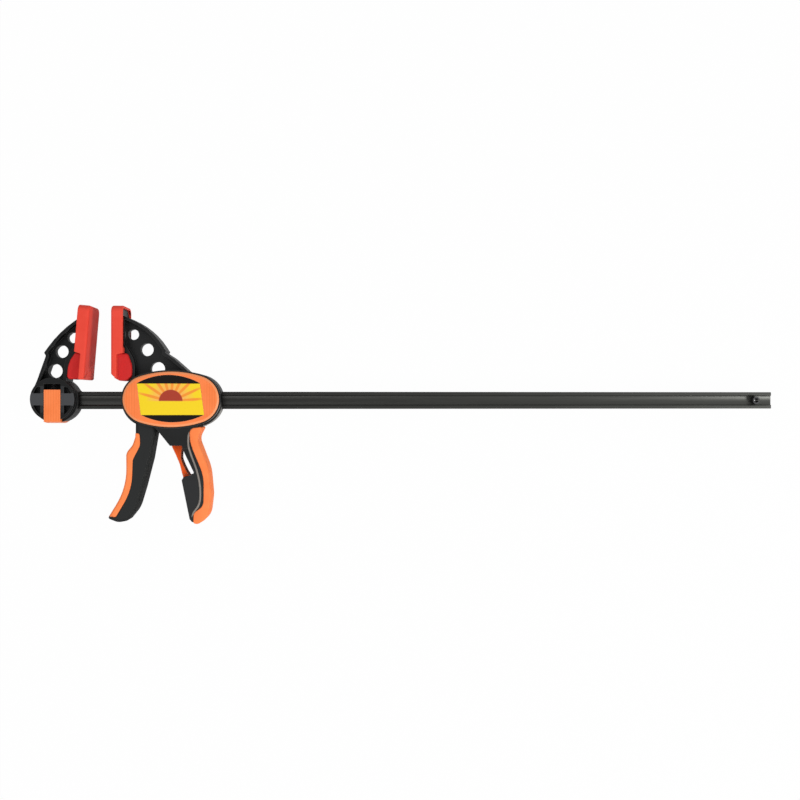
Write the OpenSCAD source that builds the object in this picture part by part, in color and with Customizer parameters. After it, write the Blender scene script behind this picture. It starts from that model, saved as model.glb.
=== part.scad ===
// Quick release bar clamp, lying on its side: X runs along the bar, Y from the handles
// to the jaws and Z through the clamp's thickness. All sizes are in millimetres.
// Inside the modules the "bar frame" is used: x = 0 on the axis of the fixed jaw's boss,
// y = 0 on the bar's centreline and z = 0 on the clamp's mid-plane. place() moves that
// frame so that the origin lies under the middle of the whole clamp.

/* [Bar] */
// Height of the bar, jaw side to handle side
bar_h = 18; // [14:0.5:24]
// Thickness of the bar's flanges
bar_t = 8; // [6:0.5:10]
// Height of the rolled groove in each face of the bar
groove_h = 9; // [4:0.5:11]
// Depth of the rolled groove
groove_d = 1.2; // [0.4:0.1:1.6]
// Bar left beyond the stop pin
bar_tail = 19; // [12:1:40]
// Diameter of the spring pin that stops the head
stop_pin_d = 8; // [5:0.5:9]
// Length of the stop pin, which stands out on both faces
stop_pin_l = 17; // [12:1:24]
// Wall of the stop pin, which is a rolled tube with a slot
stop_pin_wall = 1.6; // [1:0.1:2]

/* [Opening] */
// Largest opening, between the heels of the pads
max_opening = 600; // [200:10:1000]
// Opening at which the clamp is drawn
rest_opening = 26.4; // [22:0.2:120]

/* [Fixed jaw] */
// Radius of the round boss
boss_r = 21.9; // [20:0.5:28]
// Thickness of the boss
boss_w = 30; // [24:0.5:32]
// Depth of the pockets in the boss's faces
pocket_d = 5.5; // [2:0.5:6]
// Lean of the fixed jaw towards the moving jaw, in degrees
fixed_lean = 4.7; // [0:0.1:8]
// Thickness of both jaws' webs
web_t = 8; // [6:0.5:10]
// Width of the flanges round the jaws' webs
flange_w = 24; // [18:1:26]
// Thickness of the flanges
flange_t = 3; // [2:0.5:4]

/* [Lock button] */
// Width of the button, along the bar
button_w = 16.2; // [14:0.2:18]
// Lift of the button that frees the jaw
button_lift = 4.6; // [4.4:0.1:5]
// Diameter of the steel lock pin
lock_pin_d = 5; // [4:0.5:6]

/* [Pads] */
// Thickness of a pad
pad_t = 12; // [9:0.5:16]
// Width of a pad, through the clamp
pad_w = 39.4; // [34:0.2:44]
// Height of a pad
pad_h = 76.4; // [60:0.5:90]
// Wall of the pad's hollow back, which slips over the jaw's plate
pad_wall = 2.6; // [2:0.1:3.5]
// Thickness of the pad's face in front of that plate
pad_face_t = 4.5; // [3:0.1:5]
// Thickness of the pad's lower strip, in front of the heel
strip_t = 5.8; // [5:0.1:8]
// How far the heel stands out behind the pad
heel_t = 7.2; // [3:0.2:9]
// Height of the heel
heel_h = 31; // [20:1:34]
// Height of the pads' lower edge above the bar's centreline
pad_y = 20.4; // [18:0.2:26]

/* [Head] */
// Half the length of the oval housing
oval_a = 50; // [48:0.2:56]
// Half the height of the oval housing
oval_b = 30; // [29:0.2:34]
// Radius of the oval's round ends
oval_end_r = 26.2; // [22:0.2:27]
// Width of the housing
housing_w = 30; // [28:0.5:34]
// Thickness of the housing's wall
wall = 2.6; // [2:0.1:3.2]
// Thickness of each cover
cover_t = 2.6; // [2:0.1:3]
// Height of the oval's centre above the bar's centreline
oval_y = 1.1; // [0:0.1:2]
// How far the belt round the housing's middle stands out
belt_out = 1.2; // [0.5:0.1:2]
// How far the belt lies lower than the housing, on the handles' side
belt_drop = 1.2; // [0:0.1:1.5]
// Width of the belt
belt_w = 19; // [12:0.5:22]
// Thickness of the housing's lip round each cover
lip_t = 1.1; // [0.8:0.1:1.6]
// Height of the lip
lip_h = 1.2; // [0.6:0.1:1.6]

/* [Trigger] */
// Width of the trigger lever
lever_w = 24; // [20:0.5:24.4]
// Squeeze of the trigger, in degrees
squeeze = 15; // [8:0.5:16]
// Diameter of the trigger's pivot pin
trigger_pin_d = 6; // [4:0.5:7]
// Thickness of one drive plate
plate_t = 3; // [2:0.25:3.5]
// Number of drive plates
plates = 2; // [1:1:2]

/* [Release] */
// Lean of the brake plate when it grips the bar, in degrees
brake_lean = 7; // [4:0.5:8]
// Thickness of the brake plate
brake_t = 3.5; // [2.5:0.25:4]
// Width of the release trigger
release_w = 14; // [12:0.5:20]
// Diameter of the release trigger's pin
release_pin_d = 4; // [3:0.5:5]

/* [Handle] */
// Width of the handle's grip
grip_w = 27; // [24:0.5:30]
// Thickness of the soft overmould on both handles
overmould_t = 3; // [2:0.25:4]

/* [Fits] */
// Gap round the bar in the parts that slide on it
bar_gap = 0.25; // [0.15:0.05:0.4]
// Gap between parts that are seated on each other
seat_gap = 0.2; // [0.1:0.05:0.3]
// Radial gap between a pin and the part that turns on it
turn_gap = 0.06; // [0.03:0.01:0.1]
// Side gap between a moving part and its housing
side_gap = 0.3; // [0.2:0.05:0.5]

/* [Hidden] */
$fn = 64;
// Longest step along a drawn arc, in degrees, the shortest in millimetres, and an overshoot for clean cuts
arc_step = 6;
arc_side = 0.5;
eps = 0.5;

// ---- outlines: lists of [x, y, corner radius], counterclockwise ----
function unit(v) = v / norm(v);
function xy(v) = [v[0], v[1]];
function turn(from, to) = (to - from + 540) % 360 - 180;
// One vertex as the points of its corner arc
function corner(a, b, c) =
    b[2] == 0 ? [xy(b)] :
    let (u = unit(xy(a) - xy(b)), w = unit(xy(c) - xy(b)), half = acos(u * w) / 2,
         mid = xy(b) + unit(u + w) * b[2] / sin(half), reach = b[2] / tan(half),
         s = xy(b) + u * reach - mid, e = xy(b) + w * reach - mid,
         start = atan2(s.y, s.x), sweep = turn(start, atan2(e.y, e.x)),
         steps = max(2, min(ceil(abs(sweep) / arc_step), ceil(b[2] * abs(sweep) * PI / 180 / arc_side))))
    [for (i = [0 : steps]) mid + b[2] * [cos(start + sweep * i / steps), sin(start + sweep * i / steps)]];
function rounded(v) =
    [for (i = [0 : len(v) - 1]) each corner(v[(i + len(v) - 1) % len(v)], v[i], v[(i + 1) % len(v)])];
// The outline moved inwards by d, with its corner radii kept parallel
function inset(v, d) =
    [for (i = [0 : len(v) - 1])
        let (a = xy(v[(i + len(v) - 1) % len(v)]), b = xy(v[i]), c = xy(v[(i + 1) % len(v)]),
             p = unit(b - a), q = unit(c - b), n = [-p.y, p.x], m = [-q.y, q.x],
             convex = p.x * q.y - p.y * q.x > 0, moved = b + (n + m) * d / (1 + n * m))
        [moved.x, moved.y, v[i][2] == 0 || (convex && v[i][2] < d + 0.3) ? 0 : v[i][2] + (convex ? -d : d)]];
function mirrored(v) = [for (i = [len(v) - 1 : -1 : 0]) [-v[i][0], v[i][1], v[i][2]]];
function moved(v, d) = [for (p = v) [p[0] + d.x, p[1] + d.y, p[2]]];
function turned(v, a) =
    [for (p = v) [p[0] * cos(a) - p[1] * sin(a), p[0] * sin(a) + p[1] * cos(a), p[2]]];
function box_outline(x0, x1, y0, y1, r) = [[x0, y0, r], [x1, y0, r], [x1, y1, r], [x0, y1, r]];

// ---- derived places ----
pin_gap = 0.02;
head_x = 118.5;
pad_face_x = 32.4;
moving_face_x = pad_face_x + rest_opening;
// The head's own frame has x = 0 at the oval's centre
face_in_head = moving_face_x - head_x;
travel = max_opening - rest_opening;
stop_seat = 0.4;
stop_x = head_x + oval_a - stop_seat + travel + stop_pin_d / 2;
bar_x0 = -boss_r + 2;
bar_x1 = stop_x + bar_tail;
bar_slot_h = bar_h + 2 * bar_gap;
bar_slot_t = bar_t + 2 * bar_gap;
cavity_w = housing_w - 2 * wall;
brake_x = 19;
brake_y = 18;
trigger_x = -22;
trigger_y = 18;
release_x = 16;
release_y = -82.5;

// ---- outlines of the pads and jaws ----
// Side view of a pad that faces +x: its face is on x = 0 and its lower edge on y = 0. The pad is a soft
// shell, open at the back, and its narrower heel wraps the foot of the jaw.
heel_slope = 12;
heel_w = flange_w + 2 * (seat_gap + pad_wall);
heel_x = -pad_t - heel_t;
plate_recess = 2.4;
jaw_x = -pad_t + plate_recess;
jaw_foot_x = heel_x - seat_gap;
function pad_outline(rise) =
    [[0, rise, 2], [0, pad_h, 2.5], [-pad_t, pad_h, 0.8], [-pad_t, heel_h, 1], [-strip_t, heel_h, 0.8],
     [-strip_t, 0.2 + rise / 4, 1.5]];
// Rise of the lower edge towards each pad's face, and how much the heel's lower corner is cut off
fixed_rise = 0.4;
moving_rise = 3.8;
fixed_cut = 2;
moving_cut = 5.5;
function heel_outline(cut) =
    [[-1, 0.6, 0], [-1, heel_h + 1, 0], [-pad_t, heel_h + 1, 0], [heel_x, heel_h - heel_slope, 24],
     [heel_x, cut, 1], [heel_x + 0.85 * cut, -0.2, 1]];
// Room for the jaw's foot in the heel, and the foot itself, which reaches back into the jaw's flange
function foot_room(cut) =
    [[-strip_t, 1.2 + pad_wall, 0], [-strip_t, heel_h + pad_wall + eps, 0],
     [heel_x - eps, heel_h + pad_wall + eps, 0], [heel_x - eps, cut + 3.1, 0],
     [heel_x + 0.85 * cut + 0.3, 0.8 + pad_wall, 0]];
function jaw_foot(cut) =
    [[-strip_t - seat_gap, 1.2 + pad_wall + seat_gap, 0], [-strip_t - seat_gap, heel_h + pad_wall + 2, 0],
     [jaw_x - 1.2, heel_h + pad_wall + 2, 0], [-pad_t - 1.6, heel_h, 0],
     [jaw_foot_x - 1.4, heel_h - heel_slope - 1, 0], [jaw_foot_x - 1.4, cut + 3.6, 0],
     [heel_x, cut + 3.4, 0], [heel_x + 0.85 * cut + 0.5, 0.8 + pad_wall + 0.3, 0]];
// The jaw's front edge behind it, from the heel's foot to the nose, which is lower by drop
function jaw_front(drop) =
    [[jaw_foot_x, 1, 0], [jaw_foot_x, heel_h - heel_slope + seat_gap, 24], [-pad_t - seat_gap, heel_h + 1.4, 1],
     [jaw_x, heel_h + pad_wall + 1, 1], [jaw_x, pad_h - drop, 1.5]];
function to_fixed(v) = moved(turned(v, -fixed_lean), [pad_face_x, pad_y]);
function to_moving(v) = moved(mirrored(v), [face_in_head, pad_y]);

fixed_drop = 11.3;
moving_drop = 9.4;
jaw_top = pad_y + pad_h;
fixed_outline = concat(
    [[-19, 0, 0], [20.5, 0, 0], [21.4, 9.8, 1], [16.9, 15.2, 3], [12.4, 16.8, 1.5]],
    to_fixed(jaw_front(fixed_drop)),
    [[5.9, jaw_top - 27, 112], [-8.9, 48.5, 0.6], [-7.2, 45.4, 1.5], [-15.8, 20.4, 25], [-20.4, 9.5, 0]]);
moving_outline = concat(
    [[-38, 10, 0], [26, 10, 0], [26, 21.4, 0], [1.6, 43.4, 30], [-6.8, 48.9, 0.2], [-5.8, 50.8, 0.6],
     [-21.5, jaw_top - 21.5, 73]],
    to_moving(jaw_front(moving_drop)));

// ---- outlines of the head ----
function oval(d) =
    let (c = oval_a - oval_end_r, flat_r = (c * c + oval_b * oval_b - oval_end_r * oval_end_r)
                                           / (2 * (oval_b - oval_end_r)),
         split = atan2(c, flat_r - oval_b), n = ceil((90 - split) / arc_step), m = ceil(split / arc_step) + 4)
    concat(
        [for (i = [-n : n]) [c, oval_y] + (oval_end_r - d) * [cos((90 - split) * i / n), sin((90 - split) * i / n)]],
        [for (i = [-m + 1 : m - 1]) [0, oval_y - flat_r + oval_b] + (flat_r - d) * [-sin(split * i / m), cos(split * i / m)]],
        [for (i = [-n : n]) [-c, oval_y] - (oval_end_r - d) * [cos((90 - split) * i / n), sin((90 - split) * i / n)]],
        [for (i = [-m + 1 : m - 1]) [0, oval_y + flat_r - oval_b] + (flat_r - d) * [sin(split * i / m), -cos(split * i / m)]]);

// Soft grip of the handle: its edge on the neck's side, then its back for the palm
grip_inner = [[17.6, -28.4, 6], [18.6, -44, 30], [32.6, -78, 50], [32.2, -109, 10], [22.3, -116, 6],
              [22, -126.6, 1.6]];
grip_back = [[26, -128.2, 5], [37.6, -121, 16], [40.3, -98, 34], [37.9, -71, 60], [25.7, -38.8, 12],
             [31.8, -27.2, 1.5]];
grip_outline = concat(grip_inner, grip_back);
// The grip with its back moved in by d
function back_in(d) = [for (i = [len(grip_inner) : len(grip_outline) - 1]) inset(grip_outline, d)[i]];
function grip_layer(d) = d == 0 ? grip_outline : concat(grip_inner, back_in(d));
// Neck and handle, as far as the core under the soft grip, which is the grip's back less its thickness
handle_front = [[-26, -16, 0], [-13.2, -31.6, 0], [-1.4, -46.6, 1.2], [11, -46.6, 1.5], [12.2, -52.3, 3],
                [22.7, -74.8, 2], [20.2, -77.1, 1.2], [12.2, -78.8, 1.5], [10.2, -82.2, 1.5], [18.3, -122.4, 2],
                [20.9, -125.4, 1.2]];
handle_outline = concat(handle_front, back_in(overmould_t), [[26, -16, 0]]);
// Shoulder of the neck over the grip's upper end
shoulder_outline = [[10, -10, 0], [10, -26.9, 0], [32.4, -26.9, 1], [32.2, -10, 0]];
// Trigger lever, whole, and the line where its soft grip begins
lever_outline = [[-36.9, -20, 0], [-36.9, -36, 14], [-40, -46, 12], [-46.5, -54, 10], [-46.2, -90, 70],
                 [-65, -121, 2], [-54.4, -125.4, 12], [-44.8, -123.6, 5], [-35.1, -111.6, 30],
                 [-19.8, -60.1, 380], [-14.7, -20, 0]];
lever_split = [[-60, -33.6, 0], [-60, -120, 0], [-56, -120, 3], [-40.2, -92, 60], [-39.2, -61, 10],
               [-31.6, -46, 12], [-32, -33.6, 3]];

// ---- solids made from outlines ----
module slab(v, w) translate([0, 0, -w / 2]) linear_extrude(w) polygon(rounded(v));
module points_slab(p, w) translate([0, 0, -w / 2]) linear_extrude(w) polygon(p);
// A jaw: a web with round holes, and a flange all along its outline
module jaw(v, holes) difference() {
    slab(v, flange_w);
    for (s = [-1, 1]) translate([0, 0, s * (web_t + flange_w) / 2]) slab(inset(v, flange_t), flange_w);
    for (h = holes) rod(h[0], h[1], 2 * h[2], web_t + 2 * eps);
}
module rod(x, y, d, w) translate([x, y, -w / 2]) cylinder(d = d, h = w);
module block(x0, x1, y0, y1, w) translate([x0, y0, -w / 2]) cube([x1 - x0, y1 - y0, w]);
module bar_slot(x0, x1) block(x0, x1, -bar_slot_h / 2, bar_slot_h / 2, bar_slot_t);
// A close-wound or open coil along +z, swept as one closed skin
module coil(mean_r, wire_d, turns, length, per_turn = 16, sides = 6) {
    rings = round(turns * per_turn);
    pts = [for (i = [0 : rings], j = [0 : sides - 1])
        let (a = 360 * i / per_turn, b = 360 * j / sides, r = mean_r + wire_d / 2 * cos(b))
        [r * cos(a), r * sin(a), wire_d / 2 + (length - wire_d) * i / rings + wire_d / 2 * sin(b)]];
    skin = [for (i = [0 : rings - 1], j = [0 : sides - 1])
        let (k = (j + 1) % sides) each [[i * sides + j, (i + 1) * sides + j, (i + 1) * sides + k],
                                        [i * sides + j, (i + 1) * sides + k, i * sides + k]]];
    ends = [[for (j = [0 : sides - 1]) j], [for (j = [sides - 1 : -1 : 0]) rings * sides + j]];
    polyhedron(points = pts, faces = concat(skin, ends));
}

// ---- frames ----
place_z = max(pad_w, boss_w + 1, housing_w + 2 * cover_t) / 2;
function low_y() = min([for (p = concat(rounded(grip_outline), rounded(lever_outline))) p.y]);
function high_y() = max([for (p = concat(rounded(to_fixed(pad_outline(fixed_rise))), [[0, pad_y + pad_h]])) p.y]);
module place() translate([-(bar_x1 - boss_r) / 2, -(low_y() + high_y()) / 2, place_z]) children();
module in_head() place() translate([head_x, 0, 0]) children();

// ---- bar ----
module bar() color("DimGray") place() difference() {
    rotate([90, 0, 90]) translate([0, 0, bar_x0]) linear_extrude(bar_x1 - bar_x0) polygon(bar_section());
    // Lock slot: in from the end, then down behind the lock pin
    block(bar_x0 - eps, lock_pin_d / 2 + seat_gap, lock_slot_y, lock_slot_y + lock_slot_h, bar_t + 2 * eps);
    block(-lock_pin_d / 2 - seat_gap, lock_pin_d / 2 + seat_gap, lock_rest_y, lock_slot_y + eps, bar_t + 2 * eps);
    rod(0, lock_rest_y, lock_slot_h, bar_t + 2 * eps);
    rod(stop_x, 0, stop_pin_d + 2 * pin_gap, bar_t + 2 * eps);
}
lock_slot_h = lock_pin_d + 2 * seat_gap;
lock_rest_y = -2.4;
lock_slot_y = lock_rest_y + button_lift - lock_slot_h / 2;
// Half of an I section, seen along the bar, then its mirror image
function bar_side(s) = [[s * -bar_h / 2, s * (bar_t / 2 - 0.6)], [s * (-bar_h / 2 + 0.6), s * bar_t / 2],
    [s * (-groove_h / 2 - groove_d), s * bar_t / 2], [s * -groove_h / 2, s * (bar_t / 2 - groove_d)],
    [s * groove_h / 2, s * (bar_t / 2 - groove_d)], [s * (groove_h / 2 + groove_d), s * bar_t / 2],
    [s * (bar_h / 2 - 0.6), s * bar_t / 2], [s * bar_h / 2, s * (bar_t / 2 - 0.6)]];
function bar_section() = concat(bar_side(1), bar_side(-1));

module stop_pin() color("Silver") place() difference() {
    rod(stop_x, 0, stop_pin_d, stop_pin_l);
    rod(stop_x, 0, stop_pin_d - 2 * stop_pin_wall, stop_pin_l + 2 * eps);
    block(stop_x, stop_x + stop_pin_d, -0.6, 0.6, stop_pin_l + 2 * eps);
}

// ---- fixed jaw ----
button_slot_y = 16.8;
fixed_holes = [[17.3, 64.4, 5.5], [6.4, 50.1, 6.5], [-0.2, 30.2, 7.2]];
collar_outline = [[0, -bar_h / 2, 0], [20, -bar_h / 2, 1], [23.4, -1, 3], [23.4, bar_h / 2, 1],
                  [19.6, bar_h / 2 + 3.6, 2], [0, bar_h / 2 + 3.6, 0]];
module fixed_jaw() color("#2b2b2b") place() difference() {
    union() {
        jaw(fixed_outline, fixed_holes);
        rod(0, oval_y, 2 * boss_r, boss_w);
        rod(belt_drop, oval_y - belt_out, 2 * boss_r + 1.5 * belt_out, belt_w);
        slab(collar_outline, bar_t + 8);
        at_fixed_pad() pad_plate(fixed_cut);
    }
    bar_slot(-boss_r - eps, boss_r + 6);
    // Slot in which the lock button rides astride the bar and the web above it
    difference() {
        block(-button_w / 2 - side_gap, button_w / 2 + side_gap, -boss_r - 4, button_slot_y, boss_w + 2 * eps);
        block(-button_w, button_w, bar_slot_h / 2, boss_r, web_t);
    }
    for (s = [-1, 1]) translate([0, 0, s * (boss_w / 2 - pocket_d / 2)]) boss_pockets(pocket_d + 0.01);
}
// Four quadrant pockets in a face of the boss, round the band along the bar
band_h = 12.2;
rib_t = 3.2;
module boss_pockets(w) intersection() {
    rod(0, oval_y, 2 * (boss_r - 2.4), w);
    for (sx = [-1, 1], sy = [-1, 1])
        let (x0 = button_w / 2 + side_gap + rib_t, y0 = band_h / 2)
        block(sx > 0 ? x0 : -boss_r, sx > 0 ? boss_r : -x0, sy > 0 ? oval_y + y0 : -boss_r,
              sy > 0 ? 13.6 : oval_y - y0, w);
}

// ---- pads ----
pad_corner_r = 10.5;
// A plate across the clamp from x0 to x1, with its two upper corners rounded
module cross_plate(x0, x1, y0, y1, half, r) translate([x0, 0, 0]) rotate([90, 0, 90]) linear_extrude(x1 - x0)
    polygon(rounded([[y0, -half, 1.2], [y1, -half, r], [y1, half, r], [y0, half, 1.2]]));
// A pad facing +x, its lower edge on y = 0; its upper corners are rounded seen from the jaws' gap
module pad_body(rise, cut) difference() {
    union() {
        intersection() {
            slab(pad_outline(rise), pad_w);
            cross_plate(-pad_t - eps, eps, 0, pad_h, pad_w / 2, pad_corner_r);
        }
        slab(heel_outline(cut), heel_w);
    }
    cross_plate(-pad_t - eps, -pad_face_t, heel_h + pad_wall, pad_h - pad_wall, pad_w / 2 - pad_wall,
                pad_corner_r - pad_wall);
    slab(foot_room(cut), flange_w + 2 * seat_gap);
}
// The jaw's plate and foot, which the pad slips over
module pad_plate(cut) {
    cross_plate(jaw_x - 0.5, -pad_face_t - seat_gap, heel_h + pad_wall + seat_gap, pad_h - pad_wall - seat_gap,
                pad_w / 2 - pad_wall - seat_gap, pad_corner_r - pad_wall - seat_gap);
    slab(jaw_foot(cut), flange_w - 0.4);
}
module at_fixed_pad() translate([pad_face_x, pad_y, 0]) rotate(-fixed_lean) children();
module at_moving_pad() translate([face_in_head, pad_y, 0]) mirror([1, 0, 0]) children();
module fixed_pad() color("#e0503f") place() at_fixed_pad() pad_body(fixed_rise, fixed_cut);
module moving_pad() color("#e0503f") in_head() at_moving_pad() pad_body(moving_rise, moving_cut);

// ---- lock button ----
button_top = 10.9;
button_foot = -21.9;
button_crown = 1.4;
lock_spring_d = 5;
lock_spring_wire = 0.8;
lock_spring_foot = 1.6;
button_z = (bar_slot_t + boss_w + 1) / 4;
module lock_button() color("#f08030") place() difference() {
    union() {
        block(-button_w / 2, button_w / 2, button_foot, button_top, boss_w + 1);
        // Crowned thumb face
        intersection() {
            block(-button_w / 2, button_w / 2, button_foot - button_crown, button_foot + eps, boss_w + 1);
            rotate([0, 90, 0]) translate([0, button_foot - button_crown + 64, -button_w / 2])
                cylinder(r = 64, h = button_w, $fn = 180);
        }
    }
    // Open above, so that the button straddles the bar and the jaw's web
    block(-button_w, button_w, -bar_slot_h / 2 - button_lift, button_top + eps, bar_slot_t);
    rod(0, lock_rest_y, lock_pin_d + 2 * pin_gap, boss_w - 2);
    for (s = [-1, 1]) translate([0, button_top + eps, s * button_z]) rotate([90, 0, 0])
        cylinder(d = lock_spring_d + 0.6, h = button_top + eps - lock_spring_foot);
}
module lock_pin() color("Silver") place() rod(0, lock_rest_y, lock_pin_d, boss_w - 3);
module lock_springs() color("Silver") place() for (s = [-1, 1])
    translate([0, lock_spring_foot + 0.1, s * button_z]) rotate([-90, 0, 0])
        coil((lock_spring_d - lock_spring_wire) / 2, lock_spring_wire, 6,
             button_slot_y - lock_spring_foot - 0.2, 12, 5);

// ---- head body: moving jaw, housing, neck and handle in one moulding ----
moving_holes = [[-40.2, 68.1, 5.5], [-26.5, 52.5, 6.6], [-15.6, 32.6, 7.3]];
left_guide_x = -37.8;
partition_x = 8;
partition_t = 3.5;
right_guide_x = 36;
lever_mouth_x0 = -37.4;
screw_d = 3;
screw_places = [for (sx = [-1, 1], sy = [-1, 1]) [sx * (oval_a - 9.5), oval_y + sy * (oval_b - 17.8)]];
cover_boss_d = 5.6;
cover_boss_l = 6;
// Where the wide neck ends and the narrower grip begins
neck_y0 = -50;
neck_y1 = -49;
handle_y0 = -130;
all_x0 = -80;
all_x1 = 80;
// The oval housing with its belt and its two lips, larger by gap
module housing(gap) {
    points_slab(oval(-gap), housing_w);
    translate([0, -belt_drop, 0]) {
        points_slab(oval(-belt_out / 2 - gap), belt_w + 1.4);
        points_slab(oval(-belt_out - gap), belt_w);
    }
}
module lips() difference() {
    points_slab(oval(0), housing_w + 2 * lip_h);
    points_slab(oval(lip_t), housing_w + 2 * lip_h + 2 * eps);
}
module head_body() color("#2b2b2b") in_head() difference() {
    union() {
        jaw(moving_outline, moving_holes);
        at_moving_pad() pad_plate(moving_cut);
        housing(0);
        lips();
        intersection() {
            slab(handle_outline, housing_w);
            block(all_x0, all_x1, neck_y0, 0, housing_w);
        }
        intersection() {
            slab(handle_outline, grip_w);
            block(all_x0, all_x1, handle_y0, neck_y1, housing_w);
        }
        slab(shoulder_outline, housing_w - 3);
    }
    head_cavity();
    handle_undercut();
    bar_slot(-oval_a - belt_out - eps, oval_a + belt_out + eps);
    // Flat seat for the stop pin
    block(oval_a - stop_seat, oval_a + belt_out + eps, -7, 7, belt_w + 2);
    rod(trigger_x, trigger_y, trigger_pin_d + 2 * pin_gap, housing_w + 2 * eps);
    translate([release_x, release_y, -grip_w / 2 - eps])
        cylinder(d = release_pin_d + 2 * pin_gap, h = release_pin_l + 0.5 + eps);
    for (p = screw_places) {
        rod(p.x, p.y, screw_d + 0.4, housing_w + 2 * eps);
        translate([p.x, p.y, housing_w / 2 - cover_boss_l]) cylinder(d = cover_boss_d + 0.3, h = cover_boss_l + eps);
    }
}
// Everything that is hollow inside the housing and the neck
module head_cavity() {
    // Drive chamber with the mouth through which the lever hangs out
    intersection() {
        union() {
            points_slab(oval(wall + 0.6), cavity_w);
            block(lever_mouth_x0, 8, -60, -10, cavity_w);
        }
        block(left_guide_x, partition_x, -60, 40, cavity_w);
    }
    // Brake chamber
    intersection() {
        points_slab(oval(wall + 0.6), cavity_w);
        block(partition_x + partition_t, right_guide_x, -40, 40, cavity_w);
    }
    // Neck, where the lever swings in and the two release parts meet
    slab([[-30, -60, 0], [6, -55, 0], [15.2, -55, 1], [16, -46, 2], [23.6, -34, 2], [23.6, -18, 0],
          [partition_x + partition_t, -18, 0], [partition_x + partition_t, -26, 0], [-30, -26, 0]], cavity_w);
    // Room for the release trigger's back and nose when it is squeezed
    slab([[6, -62, 0], [15.2, -60.5, 1], [15.6, -50, 0], [6, -50, 0]], release_w + 2 * side_gap);
    slab([[6, -46, 0], [15, -46, 0], [nose_at.x + 9, nose_at.y, 0], [nose_at.x + 9, nose_at.y + 4.5, 2],
          [nose_at.x - 4, nose_at.y + 4.5, 2], [nose_at.x - 4, nose_at.y, 0]], release_w + 2 * side_gap);
    // Notch over the brake plate's upper end
    block(brake_x - brake_t, brake_x + brake_t, 20, brake_y + 4.6, cavity_w);
    // Slot for the foot of the release trigger
    block(6, 23, -89, -74, release_foot_w + 2 * side_gap);
    rod(release_x, release_y, 2 * release_foot_r + 1.2, release_foot_w + 2 * side_gap);
    // Windows under the covers, through which the plates and springs go in
    slab(box_outline(-15, partition_x - 1, -14, 20, 3), housing_w + 2 * eps);
    slab(box_outline(partition_x + partition_t + 1, right_guide_x - 1, -14, 18, 3), housing_w + 2 * eps);
}
// The core is thinner where the soft grip wraps it
module handle_undercut() for (s = [-1, 1])
    translate([0, 0, s * (core_w / 2 + grip_w / 2)]) slab(grip_outline, grip_w);
core_w = grip_w - 2 * overmould_t;
// The palm's side is rounded in five steps
grip_round = [[0, 13], [0.6, 9], [1.2, 5.6], [2, 2.6], [2.8, 0]];
module handle_grip() color("#f08030") in_head() difference() {
    for (g = grip_round) slab(grip_layer(g[0]), grip_w + 1 - g[1]);
    slab(inset(handle_outline, -seat_gap / 2), core_w + seat_gap);
    slab(inset(shoulder_outline, -seat_gap), housing_w);
    housing(seat_gap);
}

// ---- covers and label ----
label_half = 32.2;
label_top = 16.4;
cap_h = 7.4;
label_recess = 0.6;
screw_head_d = 5.4;
screw_head_h = 1.6;
function label_outline() = [[-label_half + 5, oval_y - label_top, 0], [label_half + 2.6, oval_y - label_top, 0],
    [label_half - 2.6, oval_y + label_top, 0], [-label_half - 2.6, oval_y + label_top, 0]];
function cap_arc(half, rise, n) =
    let (r = (half * half + rise * rise) / (2 * rise), a = asin(half / r))
    [for (i = [0 : n]) [-r * sin(a - 2 * a * i / n) * -1, r * cos(a - 2 * a * i / n) - r + rise]];
module label_shape(grow, w) {
    slab(inset(label_outline(), -grow), w);
    translate([-2.6, oval_y + label_top - 0.2, 0]) points_slab(cap_arc(label_half + grow, cap_h + grow, 16), w);
    translate([2.6, oval_y - label_top + 0.2, 0]) rotate(180)
        points_slab(cap_arc(label_half + grow, cap_h + grow, 16), w);
}
// A cover's plate, standing on z = 0 inside the housing's lip: its edge slopes up to the flat face
cover_slope = 3.4;
cover_steps = 4;
module cover_plate() {
    linear_extrude(lip_h) polygon(oval(lip_t + seat_gap));
    for (i = [1 : cover_steps]) linear_extrude(lip_h + (cover_t - lip_h) * i / cover_steps)
        polygon(oval(lip_t + seat_gap + cover_slope * (i - 0.5) / cover_steps));
}
module front_cover() color("#f08030") in_head() translate([0, 0, housing_w / 2]) difference() {
    union() {
        cover_plate();
        for (p = screw_places) translate([p.x, p.y, -cover_boss_l + seat_gap])
            cylinder(d = cover_boss_d, h = cover_boss_l);
    }
    translate([0, 0, cover_t]) label_shape(seat_gap / 2, 2 * label_recess);
    for (p = screw_places) translate([p.x, p.y, -cover_boss_l]) cylinder(d = screw_d + 2 * pin_gap, h = cover_boss_l + 0.6);
}
module front_label() color("#e8d040") in_head()
    translate([0, 0, housing_w / 2 + cover_t - label_recess / 2 - 0.05]) label_shape(0, label_recess - 0.1);
module rear_cover() color("#f08030") in_head() translate([0, 0, -housing_w / 2]) mirror([0, 0, 1]) difference() {
    cover_plate();
    for (p = screw_places) {
        translate([p.x, p.y, -eps]) cylinder(d = screw_d + 0.4, h = cover_t + 2 * eps);
        translate([p.x, p.y, cover_t - screw_head_h]) cylinder(d = screw_head_d + 0.4, h = screw_head_h + eps);
    }
}
module cover_screws() color("Silver") in_head() for (p = screw_places)
    translate([p.x, p.y, -housing_w / 2 - cover_t]) {
        translate([0, 0, 0.1]) difference() {
            cylinder(d = screw_head_d, h = screw_head_h - 0.1);
            for (a = [0, 90]) rotate(a) translate([-1.6, -0.35, -eps]) cube([3.2, 0.7, 0.9 + eps]);
        }
        translate([0, 0, screw_head_h - 0.1]) cylinder(d = screw_d, h = housing_w + cover_t - screw_head_h - 1);
    }

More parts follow.
